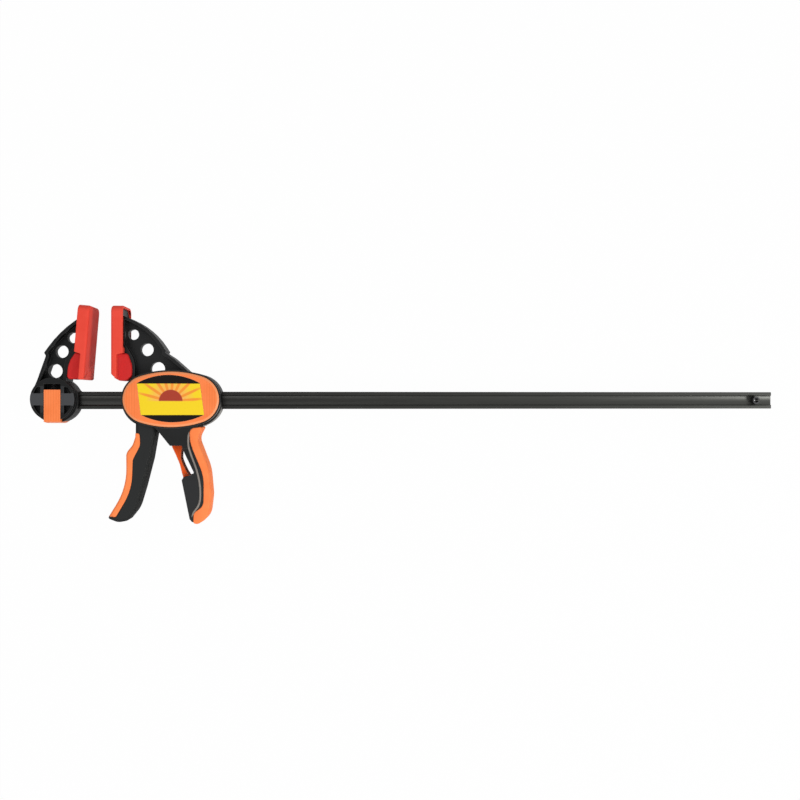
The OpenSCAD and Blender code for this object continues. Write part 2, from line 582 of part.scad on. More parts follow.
// ---- trigger ----
barrel_r = 6;
nose_r = 5;
nose_reach = 23;
arm_in = bar_slot_t / 2 + 0.4;
nose_angle = -90 - squeeze / 2;
nose_x = trigger_x + nose_reach * cos(nose_angle);
nose_y = trigger_y + nose_reach * sin(nose_angle);
module trigger_lever() color("#333333") in_head() difference() {
    union() {
        difference() {
            lever_body();
            slab(lever_split, lever_w + 2 * eps);
        }
        // Tongue under the soft grip
        intersection() {
            slab(inset(lever_outline, overmould_t), lever_w - 2 * overmould_t);
            block(all_x0, trigger_x + 2, handle_y0 + 8, -33, lever_w);
        }
        lever_head();
        rod(trigger_x, trigger_y, 2 * barrel_r, lever_w);
    }
    rod(trigger_x, trigger_y, trigger_pin_d + 2 * turn_gap, lever_w + 2 * eps);
    // Window through which the bar passes
    block(-60, 0, -15.5, trigger_y - barrel_r - 0.4, 2 * arm_in);
}
// The whole lever, with its long edges rounded in three steps
lever_round = [[0, 6], [0.7, 3], [1.6, 1.2], [2.8, 0]];
module lever_body() for (g = lever_round) slab(inset(lever_outline, g[0]), lever_w - g[1]);
// The two arms beside the bar, from the barrel down to the noses and the lever's root
head_outline = [[-36.4, -21, 0], [-16.5, -21, 0], [-23.4, -15.5, 2], [-21.5, -8, 0], [-20.6, 8, 0], [-20.6, 18, 0],
                [-26, 18, 0], [-31, 4, 8], [-34, -8, 10]];
module lever_head() {
    slab(head_outline, lever_w);
    rod(nose_x, nose_y, 2 * nose_r, lever_w);
}
module trigger_grip() color("#f08030") in_head() difference() {
    intersection() {
        lever_body();
        slab(inset(lever_split, seat_gap / 2), lever_w);
    }
    slab(inset(lever_outline, overmould_t - seat_gap), lever_w - 2 * overmould_t + seat_gap);
}
module trigger_pin() color("Silver") in_head() rod(trigger_x, trigger_y, trigger_pin_d, housing_w - 0.4);

// ---- drive plates and spring ----
drive_gap = 0.08;
drive_x = nose_x + nose_r + drive_gap;
drive_step = nose_reach * 2 * sin(squeeze / 2);
plate_w = 22;
plate_foot = 13.4;
plate_pitch = plate_t + 0.05;
module plate(t, y0, y1) difference() {
    block(0, t, y0, y1, plate_w);
    block(-eps, t + eps, -bar_slot_h / 2, bar_slot_h / 2, bar_slot_t);
}
module drive_plates() color("Gray") in_head() for (i = [0 : plates - 1])
    translate([drive_x + i * plate_pitch, 0, 0]) plate(plate_t, -plate_foot, trigger_y - barrel_r - 0.4);
drive_wire = 1.6;
drive_coil_d = cavity_w - 0.6;
module drive_spring() color("Silver") in_head()
    translate([drive_x + plates * plate_pitch + 0.1, 0, 0]) rotate([0, 90, 0])
        coil((drive_coil_d - drive_wire) / 2, drive_wire, 4.5, partition_x - drive_x - plates * plate_pitch - 0.2, 20, 6);

// ---- brake plate and spring ----
brake_foot = -33;
brake_window = bar_h / cos(brake_lean) + brake_t * tan(brake_lean) + 0.4;
module brake_plate() color("Gray") in_head() translate([brake_x, brake_y, 0]) rotate(-brake_lean)
    difference() {
        union() {
            block(-brake_t / 2, brake_t / 2, brake_foot - brake_y, 0, plate_w - 2);
            rod(0, 0, brake_t, plate_w - 2);
        }
        block(-brake_t, brake_t, -brake_y - brake_window / 2, -brake_y + brake_window / 2, bar_slot_t);
    }
brake_coil_d = 7.4;
brake_coil_y = -14.4;
module brake_spring() color("Silver") in_head() {
    from = brake_x - (brake_y - brake_coil_y + brake_coil_d / 2) * tan(brake_lean) + brake_t;
    translate([right_guide_x - 0.1, brake_coil_y, 0]) rotate([0, -90, 0])
        coil((brake_coil_d - 1) / 2, 1, 6, right_guide_x - from - 1.4, 14, 5);
}

// ---- release trigger ----
release_foot_r = 4.4;
release_foot_w = release_w - 2;
release_reach = 52;
release_pin_l = (grip_w + release_foot_w) / 2 + 3;
// Where the trigger's nose touches the brake plate
nose_at = [brake_x - (brake_y - release_y - release_reach) * tan(brake_lean)
           - brake_t / 2 / cos(brake_lean) - 0.1 - 3, release_y + release_reach];
release_outline = [[18.4, -80, 0], [14.2, -73.7, 12], [10.9, -66.9, 12], [8.4, -60.2, 8], [8.8, -53.5, 4],
                   [10.1, -46.6, 6], [7, -30, 3], [0.2, -40, 3], [-1, -47.2, 0], [3, -55.9, 40],
                   [7.3, -65.9, 40], [10.6, -80, 0]];
module release_trigger() color("#e8602c") in_head() difference() {
    union() {
        slab(release_outline, release_w);
        slab([[1, -44, 0], [10.5, -44, 0], [nose_at.x + 2.4, nose_at.y, 0], [nose_at.x - 2.6, nose_at.y + 1, 0]],
             release_w);
        rod(nose_at.x, nose_at.y, 6, release_w);
        rod(release_x, release_y, 2 * release_foot_r, release_foot_w);
    }
    rod(release_x, release_y, release_pin_d + 2 * turn_gap, release_w + 2 * eps);
    // Shoulders, so that only the narrow foot enters the grip
    for (s = [-1, 1]) translate([0, 0, s * (release_foot_w + release_w) / 2])
        block(6, 24, -90, -76.8, release_w - 0.01);
}
module release_pin() color("Silver") in_head() translate([release_x, release_y, -grip_w / 2 + 0.3])
    cylinder(d = release_pin_d, h = release_pin_l - 0.3);

bar();
stop_pin();
fixed_jaw();
fixed_pad();
lock_button();
lock_pin();
lock_springs();
head_body();
moving_pad();
front_cover();
rear_cover();
front_label();
cover_screws();
trigger_lever();
trigger_grip();
trigger_pin();
drive_plates();
drive_spring();
brake_plate();
brake_spring();
release_trigger();
release_pin();
handle_grip();
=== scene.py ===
"""Looks of a one-handed quick release bar clamp that lies on its side on a pale floor.

The steel bar, the moulded jaws and head and everything inside them are the frame's own nodes with
procedural materials. The soft parts (two jaw pads, two hand grips), the two oval covers, the label
and the bead along the handle are surfaces worked out with numpy. X runs along the bar, Y from the
handles to the jaws, Z out of the labelled face.
"""

import bmesh
import bpy
import numpy as np
from mathutils import Matrix, Vector


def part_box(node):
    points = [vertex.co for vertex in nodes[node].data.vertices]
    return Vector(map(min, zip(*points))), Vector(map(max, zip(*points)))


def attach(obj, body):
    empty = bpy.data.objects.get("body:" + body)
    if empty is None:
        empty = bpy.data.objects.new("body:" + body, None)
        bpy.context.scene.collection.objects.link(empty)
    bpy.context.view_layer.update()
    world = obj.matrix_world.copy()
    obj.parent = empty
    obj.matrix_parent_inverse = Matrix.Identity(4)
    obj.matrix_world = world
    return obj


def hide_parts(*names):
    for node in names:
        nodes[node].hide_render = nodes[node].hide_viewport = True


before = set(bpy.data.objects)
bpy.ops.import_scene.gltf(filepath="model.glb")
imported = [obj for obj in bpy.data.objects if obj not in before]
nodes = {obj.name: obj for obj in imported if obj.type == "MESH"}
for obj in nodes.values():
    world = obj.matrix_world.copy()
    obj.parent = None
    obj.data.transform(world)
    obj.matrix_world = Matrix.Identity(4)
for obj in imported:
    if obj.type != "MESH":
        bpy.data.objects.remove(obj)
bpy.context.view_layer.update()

# Numbers below are in millimetres unless a comment says otherwise
MM = 0.001
BOSS_R = 21.9  # radius of the fixed jaw's round boss, the outermost part of that jaw


def middle(node):
    """Middle of a node's box."""
    low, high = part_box(node)
    return (low + high) / 2


# Places that everything below is set out from, in metres: the bar's middle line and free end, the
# middle of the oval covers and the axis of the fixed jaw's round boss
BAR_Y = middle("bar").y
BAR_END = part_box("bar")[1].x
MID_Z = middle("bar").z
HEAD_X = middle("front_cover").x
OVAL_Y = middle("front_cover").y
BOSS_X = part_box("fixed_jaw")[0].x + BOSS_R * MM
# Where the millimetres of the grips and the bead are counted from
HEAD = np.array([HEAD_X, BAR_Y, MID_Z])


# ---------------------------------------------------------------- camera

CAMERA_AT = (-0.0913, 0.015478, 0.9226)  # metres
CAMERA_BACK = (-0.0828, 0.0, 0.9966)  # the way from the clamp to the camera
SENSOR_WIDTH, FOCAL_LENGTH = 36.0, 38.25
SEES_TO = 20.0  # metres


def look_down():
    """Camera 0.92 m above the floor, turned 4.75 degrees towards the bar's free end."""
    lens = bpy.data.cameras.new("camera")
    lens.sensor_width, lens.lens, lens.clip_end = SENSOR_WIDTH, FOCAL_LENGTH, SEES_TO
    camera = bpy.data.objects.new("camera", lens)
    bpy.context.scene.collection.objects.link(camera)
    back = Vector(CAMERA_BACK).normalized()
    right = Vector((0.0, 1.0, 0.0)).cross(back).normalized()
    up = back.cross(right)
    turn = Matrix((right, up, back)).transposed()
    camera.matrix_world = Matrix.Translation(CAMERA_AT) @ turn.to_4x4()
    bpy.context.scene.camera = camera


look_down()


# ---------------------------------------------------------------- shapes

SAME_POINT = 1e-6  # metres between two points that are joined
SHARP_FROM = 38  # degrees between two faces
ROLL_STEPS = 15  # rings in a rolled edge
LEAST_R = 0.3  # smallest radius that is left at a corner that is moved in


def unit(v):
    """Vectors along the last axis, scaled to length 1."""
    return v / np.linalg.norm(v, axis=-1, keepdims=True)


def outline(corners, steps=9):
    """A closed outline with round corners, as a polyline.

    corners holds x, y and radius, counterclockwise. Each corner becomes a circular arc whose centre
    lies on the corner's bisector at radius / sin(half the corner's angle).
    """
    v = np.asarray(corners, float)
    p, radius = v[:, :2], v[:, 2]
    u, w = unit(np.roll(p, 1, 0) - p), unit(np.roll(p, -1, 0) - p)
    half = np.arccos(np.clip((u * w).sum(1), -1, 1)) / 2
    centre = p + unit(u + w) * (radius / np.sin(half))[:, None]
    reach = (radius / np.tan(half))[:, None]
    first, last = p + u * reach - centre, p + w * reach - centre
    start = np.arctan2(first[:, 1], first[:, 0])
    sweep = (np.arctan2(last[:, 1], last[:, 0]) - start + np.pi) % (2 * np.pi) - np.pi
    angle = start[:, None] + sweep[:, None] * np.linspace(0, 1, steps)
    arcs = centre[:, None] + radius[:, None, None] * np.stack([np.cos(angle), np.sin(angle)], -1)
    return arcs.reshape(-1, 2)


def moved_in(corners, depth):
    """Corners of an outline whose edges are moved inwards, each by its own depth.

    A new corner is where the lines of its two moved edges cross. An outer corner's radius loses the
    mean of the two depths and an inner corner's gains it.
    """
    v = np.asarray(corners, float)
    depth = np.broadcast_to(np.asarray(depth, float), len(v))
    along = unit(np.roll(v[:, :2], -1, 0) - v[:, :2])
    at = v[:, :2] + np.stack([-along[:, 1], along[:, 0]], -1) * depth[:, None]
    before, at_before = np.roll(along, 1, 0), np.roll(at, 1, 0)
    cross = before[:, 0] * along[:, 1] - before[:, 1] * along[:, 0]
    gap = at - at_before
    share = (gap[:, 0] * along[:, 1] - gap[:, 1] * along[:, 0]) / cross
    mean = (np.roll(depth, 1) + depth) / 2
    radius = np.maximum(v[:, 2] + np.where(cross > 0, -mean, mean), LEAST_R)
    return np.column_stack([at_before + before * share[:, None], radius])


def walk(points):
    """How far along a line of points each of them lies."""
    return np.concatenate([[0], np.cumsum(np.linalg.norm(np.diff(points, axis=0), axis=1))])


def even(loop, count):
    """A closed loop of points, walked again in equal steps along its length."""
    closed = np.vstack([loop, loop[:1]])
    walked = walk(closed)
    at = np.linspace(0, walked[-1], count, endpoint=False)
    return np.stack([np.interp(at, walked, closed[:, k]) for k in (0, 1)], -1)


def smooth_step(t):
    """0 below 0 and 1 above 1, with a smooth cubic between."""
    t = np.clip(t, 0, 1)
    return t * t * (3 - 2 * t)


def stacked(layers):
    """Rings of points from pairs of a height and a flat loop."""
    return np.array([np.column_stack([at, np.full(len(at), z)]) for z, at in layers])


def skin(rings):
    """Faces of a closed skin over rings of points: quads between neighbouring rings, and one face
    over each end. The rings run counterclockwise seen from the last one's side."""
    count, size = rings.shape[:2]
    i, j = np.meshgrid(np.arange(count - 1), np.arange(size), indexing="ij")
    k = (j + 1) % size
    faces = np.stack([i * size + j, i * size + k, (i + 1) * size + k, (i + 1) * size + j], -1)
    faces = faces.reshape(-1, 4).tolist()
    faces.append(np.arange(size)[::-1].tolist())
    faces.append((np.arange(size) + (count - 1) * size).tolist())
    return faces


def solid(name, rings, inside_out=False):
    """An object in the scene with a closed skin over rings of points given in metres."""
    faces = skin(rings)
    if inside_out:
        faces = [face[::-1] for face in faces]
    mesh = bpy.data.meshes.new(name)
    mesh.from_pydata(rings.reshape(-1, 3).tolist(), [], faces)
    made = bpy.data.objects.new(name, mesh)
    bpy.context.scene.collection.objects.link(made)
    return made


def merged(node):
    """A copy of a CAD node with its loose triangles joined, so that it can cut another solid."""
    copy = bpy.data.objects.new(node + "_copy", nodes[node].data.copy())
    bpy.context.scene.collection.objects.link(copy)
    mesh = bmesh.new()
    mesh.from_mesh(copy.data)
    bmesh.ops.remove_doubles(mesh, verts=mesh.verts, dist=SAME_POINT)
    mesh.to_mesh(copy.data)
    mesh.free()
    return copy


def carved(piece, joined=(), taken=()):
    """Joins solids to a piece and takes solids out of it, leaves one mesh, and removes them."""
    for kind, others in (("UNION", joined), ("DIFFERENCE", taken)):
        for other in others:
            cut = piece.modifiers.new(kind.lower(), "BOOLEAN")
            cut.operation, cut.object, cut.solver = kind, other, "EXACT"
    seen = bpy.context.evaluated_depsgraph_get()
    mesh = bpy.data.meshes.new_from_object(piece.evaluated_get(seen))
    piece.modifiers.clear()
    piece.data = mesh
    for other in (*joined, *taken):
        bpy.data.objects.remove(other)
    return piece


def finished(piece, body, slot, *stands_for):
    """Smooth shading but across sharp edges, the body that the piece rides on and the nodes that it
    stands for. slot, the slot that it is made of, is not used."""
    piece.data.polygons.foreach_set("use_smooth", [True] * len(piece.data.polygons))
    piece.data.set_sharp_from_angle(angle=np.radians(SHARP_FROM))
    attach(piece, body)
    if stands_for:
        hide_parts(*stands_for)
    return piece


def rolled_block(corners, half, depth, height):
    """Rings of a block through the clamp's thickness, with every edge of its two faces rolled.

    At height z the outline's edge e stands in by depth_e * (1 - sqrt(1 - t^2)), where t runs from 0
    to 1 over the last height_e millimetres below the face: a quarter of an ellipse.
    """
    depth, height = np.broadcast_to(depth, len(corners)), np.broadcast_to(height, len(corners))
    up = half - height.max() * (1 - np.sin(np.linspace(0, np.pi / 2, ROLL_STEPS)))
    layers = []
    for z in np.concatenate([-up[::-1], up]):
        t = np.clip((abs(z) - half + height) / height, 0, 1)
        layers.append((z, outline(moved_in(corners, depth * (1 - np.sqrt(1 - t * t))))))
    return stacked(layers)


# ---------------------------------------------------------------- soft grips

# Half widths of the handle's grip, of the lever's grip and of the room in the neck, and how much
# that room's edges are rolled
GRIP_HALF, LEVER_HALF, ROOM_HALF, ROOM_ROLL = 14.0, 12.0, 12.4, 0.3
# Each row is a corner's x, y and radius, then how deep and over what height the edge after it is
# rolled. The handle's grip: its edge on the neck's side, then its palm side
handle_corners = np.array([
    [17.6, -28.4, 6.0, 0.7, 0.8], [18.6, -44.0, 30.0, 0.7, 0.8], [32.6, -78.0, 50.0, 0.7, 0.8],
    [32.2, -109.0, 10.0, 0.7, 0.8], [22.3, -116.0, 6.0, 0.7, 0.8], [22.0, -126.6, 1.6, 1.4, 2.4],
    [26.0, -128.2, 5.0, 2.2, 4.6], [37.6, -121.0, 16.0, 2.4, 5.0], [40.3, -98.0, 34.0, 2.4, 5.0],
    [37.9, -71.0, 60.0, 2.2, 4.6], [25.7, -38.8, 12.0, 1.4, 2.4], [31.8, -27.2, 1.5, 0.9, 1.2]])
# The lever's grip: its front, then its edge on the lever's side
lever_corners = np.array([
    [-36.9, -33.7, 0.5, 1.2, 1.6], [-37.0, -36.6, 12.0, 2.6, 3.4], [-40.0, -46.0, 12.0, 2.6, 3.4],
    [-46.5, -54.0, 10.0, 2.6, 3.4], [-46.2, -90.0, 70.0, 2.6, 3.4], [-64.0, -119.3, 1.4, 1.4, 1.6],
    [-56.6, -119.9, 2.6, 0.5, 0.6], [-40.3, -92.0, 60.0, 0.5, 0.6], [-39.3, -61.0, 10.0, 0.5, 0.6],
    [-31.7, -46.0, 12.0, 0.5, 0.6], [-32.6, -33.7, 2.4, 0.6, 0.8]])
# Room inside the neck for the foot of the brake plate: x, y and radius of its corners
brake_room = [[10, -35.5, 0.5], [22, -35.5, 0.5], [22, -20, 0.5], [10, -20, 0.5]]


def soft_grip(name, rows, half, body, node, hard, rooms=()):
    """An elastomer grip moulded over a hard core. The rooms inside the core and then the core's own
    solid are taken out of it."""
    rings = rolled_block(rows[:, :3], half, rows[:, 3], rows[:, 4]) * MM + HEAD
    taken = [solid("room", rolled_block(room, ROOM_HALF, ROOM_ROLL, ROOM_ROLL) * MM + HEAD)
             for room in rooms]
    piece = carved(solid(name, rings), taken=[*taken, merged(hard)])
    return finished(piece, body, "orange_grip", node)


handle_grip = soft_grip("handle_overmould", handle_corners, GRIP_HALF, "head", "handle_grip",
                        "head_body", [brake_room])
trigger_grip = soft_grip("lever_overmould", lever_corners, LEVER_HALF, "trigger", "trigger_grip",
                         "trigger_lever")


# ---------------------------------------------------------------- jaw pads

# A pad's height and half width, its thickness over the heel and in front of it, its wall, where the
# jaw's plate lies behind its face, the top of the heel, the height over which the thickness steps
# there, and the heel's half width
PAD_H, PAD_HALF = 76.4, 19.7
PAD_T, STRIP_T, PAD_WALL, PLATE_BACK = 12.0, 5.8, 2.6, 9.8
HEEL_H, HEEL_STEP, HEEL_HALF = 27.3, 1.8, 14.8
# Corners and edges: seen from the gap, then rolled in section
UPPER_R, LOWER_R, FRONT_R, RIM_R = 6.5, 1.2, 2.4, 0.8
# Lower edges of the pad and of its hollow, the length over which the lower edge's lean fades, how
# far the middle line of the face stays from its ends, and how much the face is crowned
PAD_FROM, HOLLOW_FROM, LEAN_TO, SPINE_IN, CROWN = 0.2, 33.6, 14, 12, 0.25
RING_POINTS, CORNER_STEPS = 360, 16
# Height of both feet above the bar's middle line, how far the fixed one is from the boss's axis,
# and by how many degrees the fixed pad leans
PAD_FOOT, FIXED_FOOT, FIXED_LEAN = 20.4, 32.4, 4.7


def pad_shell(rise):
    """Rings of a pad's front: a thick face with a thin wall round its back, open behind.

    s runs once round the pad as seen from the gap, a rectangle with two large upper corners, walked
    in equal steps. t runs from the middle of the face over its rolled edge, back along the wall, in
    over the wall's rim, and forward again to the floor of the hollow. The wall ends at PAD_T above
    the heel and at STRIP_T in front of it, with a smooth step between. The lower edge rises by rise
    towards the face.
    """
    def ring(low, wall):
        side, top, upper = PAD_HALF - wall, PAD_H - wall, UPPER_R - wall
        box = [[low, -side, LOWER_R], [top, -side, upper], [top, side, upper], [low, side, LOWER_R]]
        return even(outline(box, CORNER_STEPS), RING_POINTS)

    def layer(x, at):
        return np.column_stack([np.broadcast_to(x, len(at)), at])

    def back_of(at):
        up = (at[:, 0] - HEEL_H + HEEL_STEP / 2) / HEEL_STEP
        return -STRIP_T - (PAD_T - STRIP_T) * smooth_step(up)

    def crown(at):
        return -CROWN * (at[:, 1] / PAD_HALF) ** 2

    outer, hollow = ring(PAD_FROM, 0), ring(HOLLOW_FROM, PAD_WALL)
    along = unit(np.roll(outer, -1, 0) - np.roll(outer, 1, 0))
    inward = np.stack([-along[:, 1], along[:, 0]], -1)
    spine = np.column_stack([np.clip(outer[:, 0], SPINE_IN, PAD_H - SPINE_IN), 0 * outer[:, 1]])
    # The last number of each linspace is how many rings that part has
    layers = []
    for share in np.linspace(0.97, 0, 12)[:-1]:
        at = (outer + inward * FRONT_R) * (1 - share) + spine * share
        layers.append(layer(crown(at), at))
    for a in np.linspace(np.pi / 2, 0, 8):
        at = outer + inward * FRONT_R * (1 - np.cos(a))
        layers.append(layer(-FRONT_R * (1 - np.sin(a)) + crown(at) * np.sin(a), at))
    for share in np.linspace(0, 1, 14)[1:-1]:
        layers.append(layer(-FRONT_R + share * (back_of(outer) + RIM_R + FRONT_R), outer))
    for a in np.linspace(0, np.pi / 2, 6):
        at = outer + inward * RIM_R * (1 - np.cos(a))
        layers.append(layer(back_of(at) + RIM_R * (1 - np.sin(a)), at))
    for share in np.linspace(0, 1, 46)[1:]:
        at = (outer + inward * RIM_R) * (1 - share) + hollow * share
        layers.append(layer(back_of(at), at))
    for x in (-PAD_T + 0.5, -PLATE_BACK - 0.4, -PLATE_BACK):
        layers.append(layer(x, hollow))
    rings = np.array(layers)
    lift = np.maximum(rise * (1 + rings[..., 0] / STRIP_T) + rise / 4, 0)
    rings[..., 1] += lift * np.clip(1 - rings[..., 1] / LEAN_TO, 0, 1)
    return rings


def heel_cup(corners):
    """Rings of the cup round the jaw's foot: its side view carried through its width and rolled,
    but hardly at its last edge, which lies inside the pad's front."""
    count = len(corners) - 1
    return rolled_block(corners, HEEL_HALF, [1.8] * count + [0.6], [2.6] * count + [0.8])


# Side views of the two cups, from the top of the front round the foot to the front's lower edge:
# x, y and radius of each corner
fixed_cup = [[-2.5, 26.9, 0.8], [-12.6, 27.3, 1.2], [-16.9, 19.5, 14], [-18.6, 12, 14],
             [-18.6, 2.4, 2], [-16.6, -0.2, 2], [-2.5, 1.4, 1]]
moving_cup = [[-2.5, 28.0, 0.8], [-15.8, 27.8, 4], [-20.0, 15.5, 14], [-20.0, 4.5, 4],
              [-15.5, -0.3, 5], [-7.5, -0.3, 3], [-2.5, 2.4, 1]]


def jaw_pad(name, body, node, hard, foot_x, lean, facing, rise, cup_corners):
    """A soft pad with its cup, slipped over the jaw's plate and foot, which are taken out of it.

    Its foot stands at foot_x, in metres. It leans by some degrees towards the gap, which lies
    towards +X where facing is 1 and towards -X where it is -1. The attribute boot is 1 on the cup,
    where the material paints shade as a deeper red.
    """
    turn = np.radians(-lean)
    foot = np.array([foot_x, BAR_Y + PAD_FOOT * MM, MID_Z])

    def placed(rings):
        x, y = rings[..., 0], rings[..., 1]
        return np.stack([facing * (x * np.cos(turn) - y * np.sin(turn)),
                         x * np.sin(turn) + y * np.cos(turn), rings[..., 2]], -1) * MM + foot

    front = solid(name, placed(pad_shell(rise)), inside_out=facing > 0)
    cup = solid(name + "_cup", placed(heel_cup(cup_corners)), inside_out=facing < 0)
    piece = carved(front, joined=[cup], taken=[merged(hard)])
    at = np.empty(3 * len(piece.data.polygons))
    piece.data.polygons.foreach_get("center", at)
    at = (at.reshape(-1, 3) - foot) / MM * [facing, 1, 1]
    x = at[:, 0] * np.cos(turn) + at[:, 1] * np.sin(turn)
    y = at[:, 1] * np.cos(turn) - at[:, 0] * np.sin(turn)
    behind, low = x < -STRIP_T - 0.2, y < HEEL_H + HEEL_STEP / 2
    on_cup = behind & low & (np.abs(at[:, 2]) < HEEL_HALF + 0.1)
    # Marks the cup's faces, which soft_pvc paints a deeper red as shade
    boot = piece.data.attributes.new("boot", "FLOAT", "FACE")
    boot.data.foreach_set("value", on_cup)
    return finished(piece, body, "red_pad", node)


fixed_pad = jaw_pad("soft_pad_fixed", "root", "fixed_pad", "fixed_jaw", BOSS_X + FIXED_FOOT * MM,
                    lean=FIXED_LEAN, facing=1, rise=0.4, cup_corners=fixed_cup)
moving_pad = jaw_pad("soft_pad_moving", "head", "moving_pad", "head_body",
                     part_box("moving_pad")[0].x, lean=0.0, facing=-1, rise=5.2,
                     cup_corners=moving_cup)


# ---------------------------------------------------------------- oval covers

# Half length and half height of the housing's oval, the radius of its ends, how far the covers
# stay inside it, and the housing's half thickness
OVAL_A, OVAL_B, OVAL_END, EDGE_IN, HOUSING_HALF = 50.0, 30.0, 26.2, 1.55, 15.0
# A cover's thickness, its upright edge and the width of its slope
COVER_T, LIP_H, SLOPE = 2.6, 1.2, 2.8
# How far the screws lie inside the oval's ends and its two sides
SCREW_IN_X, SCREW_IN_Y = 9.5, 17.8
SCREWS = [(x * (OVAL_A - SCREW_IN_X), y * (OVAL_B - SCREW_IN_Y))
          for x in (-1, 1) for y in (-1, 1)]
# Radius and height pairs of what is joined to or taken out of the covers at each screw
POST, BORE = [(2.8, -5.8), (2.8, 0.3)], [(1.5, -6.5), (1.5, 0.6)]
SCREW_SEAT = [(1.7, -1), (1.7, 1.0), (2.9, 1.0), (2.9, 4)]
# Below and above a cover's face: the label's back, its edge and how much further its middle domes
LABEL_BACK, LABEL_EDGE, DOME = 0.6, 0.1, 0.3
EDGE_POINTS, LABEL_POINTS, TURNED_POINTS = 480, 960, 28


def oval(inwards):
    """The oval, moved inwards: two end arcs and two flat arcs that meet without a kink."""
    c = OVAL_A - OVAL_END
    flat = (c * c + OVAL_B ** 2 - OVAL_END ** 2) / (2 * (OVAL_B - OVAL_END))
    split = np.arctan2(c, flat - OVAL_B)
    end = np.linspace(split - np.pi / 2, np.pi / 2 - split, 60)
    top = np.linspace(split, -split, 120)
    end_r, flat_r = OVAL_END - inwards, flat - inwards
    right = np.stack([c + end_r * np.cos(end), end_r * np.sin(end)], -1)
    upper = np.stack([flat_r * np.sin(top), flat_r * np.cos(top) - flat + OVAL_B], -1)
    half = np.vstack([right, upper[1:-1]])
    return np.vstack([half, -half])


def label_edge(angle):
    """The label's edge in given directions from its middle: a leaning rectangle with a curved cap
    above and one below."""
    def cap(left, right, base, rise):
        """An arc between two ends at the height base, whose middle stands rise further out."""
        half = (right - left) / 2
        r = (half ** 2 + rise ** 2) / (2 * rise)
        a = np.linspace(np.arcsin(half / r), -np.arcsin(half / r), 160)
        out = np.sign(base) * (r * np.cos(a) - r + rise)
        return np.stack([(left + right) / 2 + r * np.sin(a), base + out], -1)

    above, below = cap(-33.9, 29.3, 16.4, 8.5), cap(-30.1, 33.5, -15.75, 7.65)
    loop = np.vstack([above, below[::-1]])
    closed = np.vstack([loop, loop[:1]])
    share = np.linspace(0, 1, 40, endpoint=False)[:, None]
    dense = (closed[:-1, None] * (1 - share) + closed[1:, None] * share).reshape(-1, 2)
    way = np.arctan2(dense[:, 1], dense[:, 0])
    reach = np.interp(angle, way, np.hypot(*dense.T), period=2 * np.pi)
    return np.stack([reach * np.cos(angle), reach * np.sin(angle)], -1)


def turned(profile, centre):
    """Rings of a turned solid: radius and height pairs carried round a centre."""
    a = np.linspace(0, 2 * np.pi, TURNED_POINTS, endpoint=False)
    r, z = np.array(profile, float).T
    x, y = centre[0] + r[:, None] * np.cos(a), centre[1] + r[:, None] * np.sin(a)
    return np.stack([x, y, np.broadcast_to(z[:, None], x.shape)], -1)


def oval_cover(name, node, side, with_label):
    """An oval cover: flat below, a short upright edge, a rounded slope, then a flat face.

    s runs round the oval. t runs inwards from the edge, with height = lip + rise * (1 - (1 - d /
    slope)^1.7) at a distance d from the edge, then straight towards the middle. The front cover
    goes down round the label into its recess. side is 1 in front and -1 behind. The attribute
    slope is 1 on the slope.
    """
    edge, inner = even(oval(EDGE_IN), EDGE_POINTS), even(oval(EDGE_IN + SLOPE), EDGE_POINTS)
    layers = [(0.0, edge), (LIP_H - 0.2, edge)]
    for d in np.linspace(0, 1, 12):
        height = LIP_H + (COVER_T - LIP_H) * (1 - (1 - d) ** 1.7)
        layers.append((height, edge * (1 - d) + inner * d))
    if with_label:
        label = label_edge(np.arctan2(inner[:, 1], inner[:, 0])) * 1.002
        for share in np.linspace(0, 1, 7)[1:]:
            layers.append((COVER_T, inner * (1 - share) + label * share))
        layers += [(COVER_T - 0.3, label * 0.999), (COVER_T - 0.62, label * 0.998)]
    else:
        layers += [(COVER_T, inner * (1 - share)) for share in (0.2, 0.5)]

    def placed(rings):
        return (rings * [1, 1, side] + [0, 0, side * HOUSING_HALF]) * MM + [HEAD_X, OVAL_Y, MID_Z]

    def at_screws(what, profile):
        return [solid(what, placed(turned(profile, at)), inside_out=side < 0) for at in SCREWS]

    piece = solid(name, placed(stacked(layers)), inside_out=side < 0)
    if with_label:
        carved(piece, joined=at_screws("post", POST), taken=at_screws("bore", BORE))
    else:
        carved(piece, taken=at_screws("seat", SCREW_SEAT))
    points = np.empty(3 * len(piece.data.vertices))
    piece.data.vertices.foreach_get("co", points)
    height = (points.reshape(-1, 3)[:, 2] - MID_Z) / MM * side - HOUSING_HALF
    # The attribute slope marks the covers' slope, where the material paints a highlight
    share = smooth_step((COVER_T - 0.02 - height) / 0.35) * (height > LIP_H - 0.3)
    slope = piece.data.attributes.new("slope", "FLOAT", "POINT")
    slope.data.foreach_set("value", share)
    return finished(piece, "head", "orange_plastic", node)


def domed_label():
    """The label: a thin sheet in the cover's recess with a domed face.

    s runs round its edge and t from the edge to the middle, where the height grows by 0.3 mm as
    1 - (1 - t)^2.
    """
    edge = label_edge(np.linspace(-np.pi, np.pi, LABEL_POINTS, endpoint=False) + 0.001)
    layers = [(COVER_T - LABEL_BACK, edge), (COVER_T - LABEL_EDGE, edge)]
    for a in np.linspace(0.3, np.pi / 2, 5):
        height = COVER_T - LABEL_EDGE + 2 * LABEL_EDGE * np.sin(a)
        layers.append((height, edge * (1 - 0.006 * (1 - np.cos(a)))))
    for t in np.linspace(0, 0.98, 14)[1:]:
        height = COVER_T + LABEL_EDGE + DOME * (1 - (1 - t) ** 2)
        layers.append((height, edge * 0.994 * (1 - t)))
    placed = (stacked(layers) + [0, 0, HOUSING_HALF]) * MM + [HEAD_X, OVAL_Y, MID_Z]
    return finished(solid("label_sheet", placed), "head", "yellow_label", "front_label")


front_cover = oval_cover("cover_with_label", "front_cover", 1, True)
rear_cover = oval_cover("cover_with_screws", "rear_cover", -1, False)
label_sheet = domed_label()


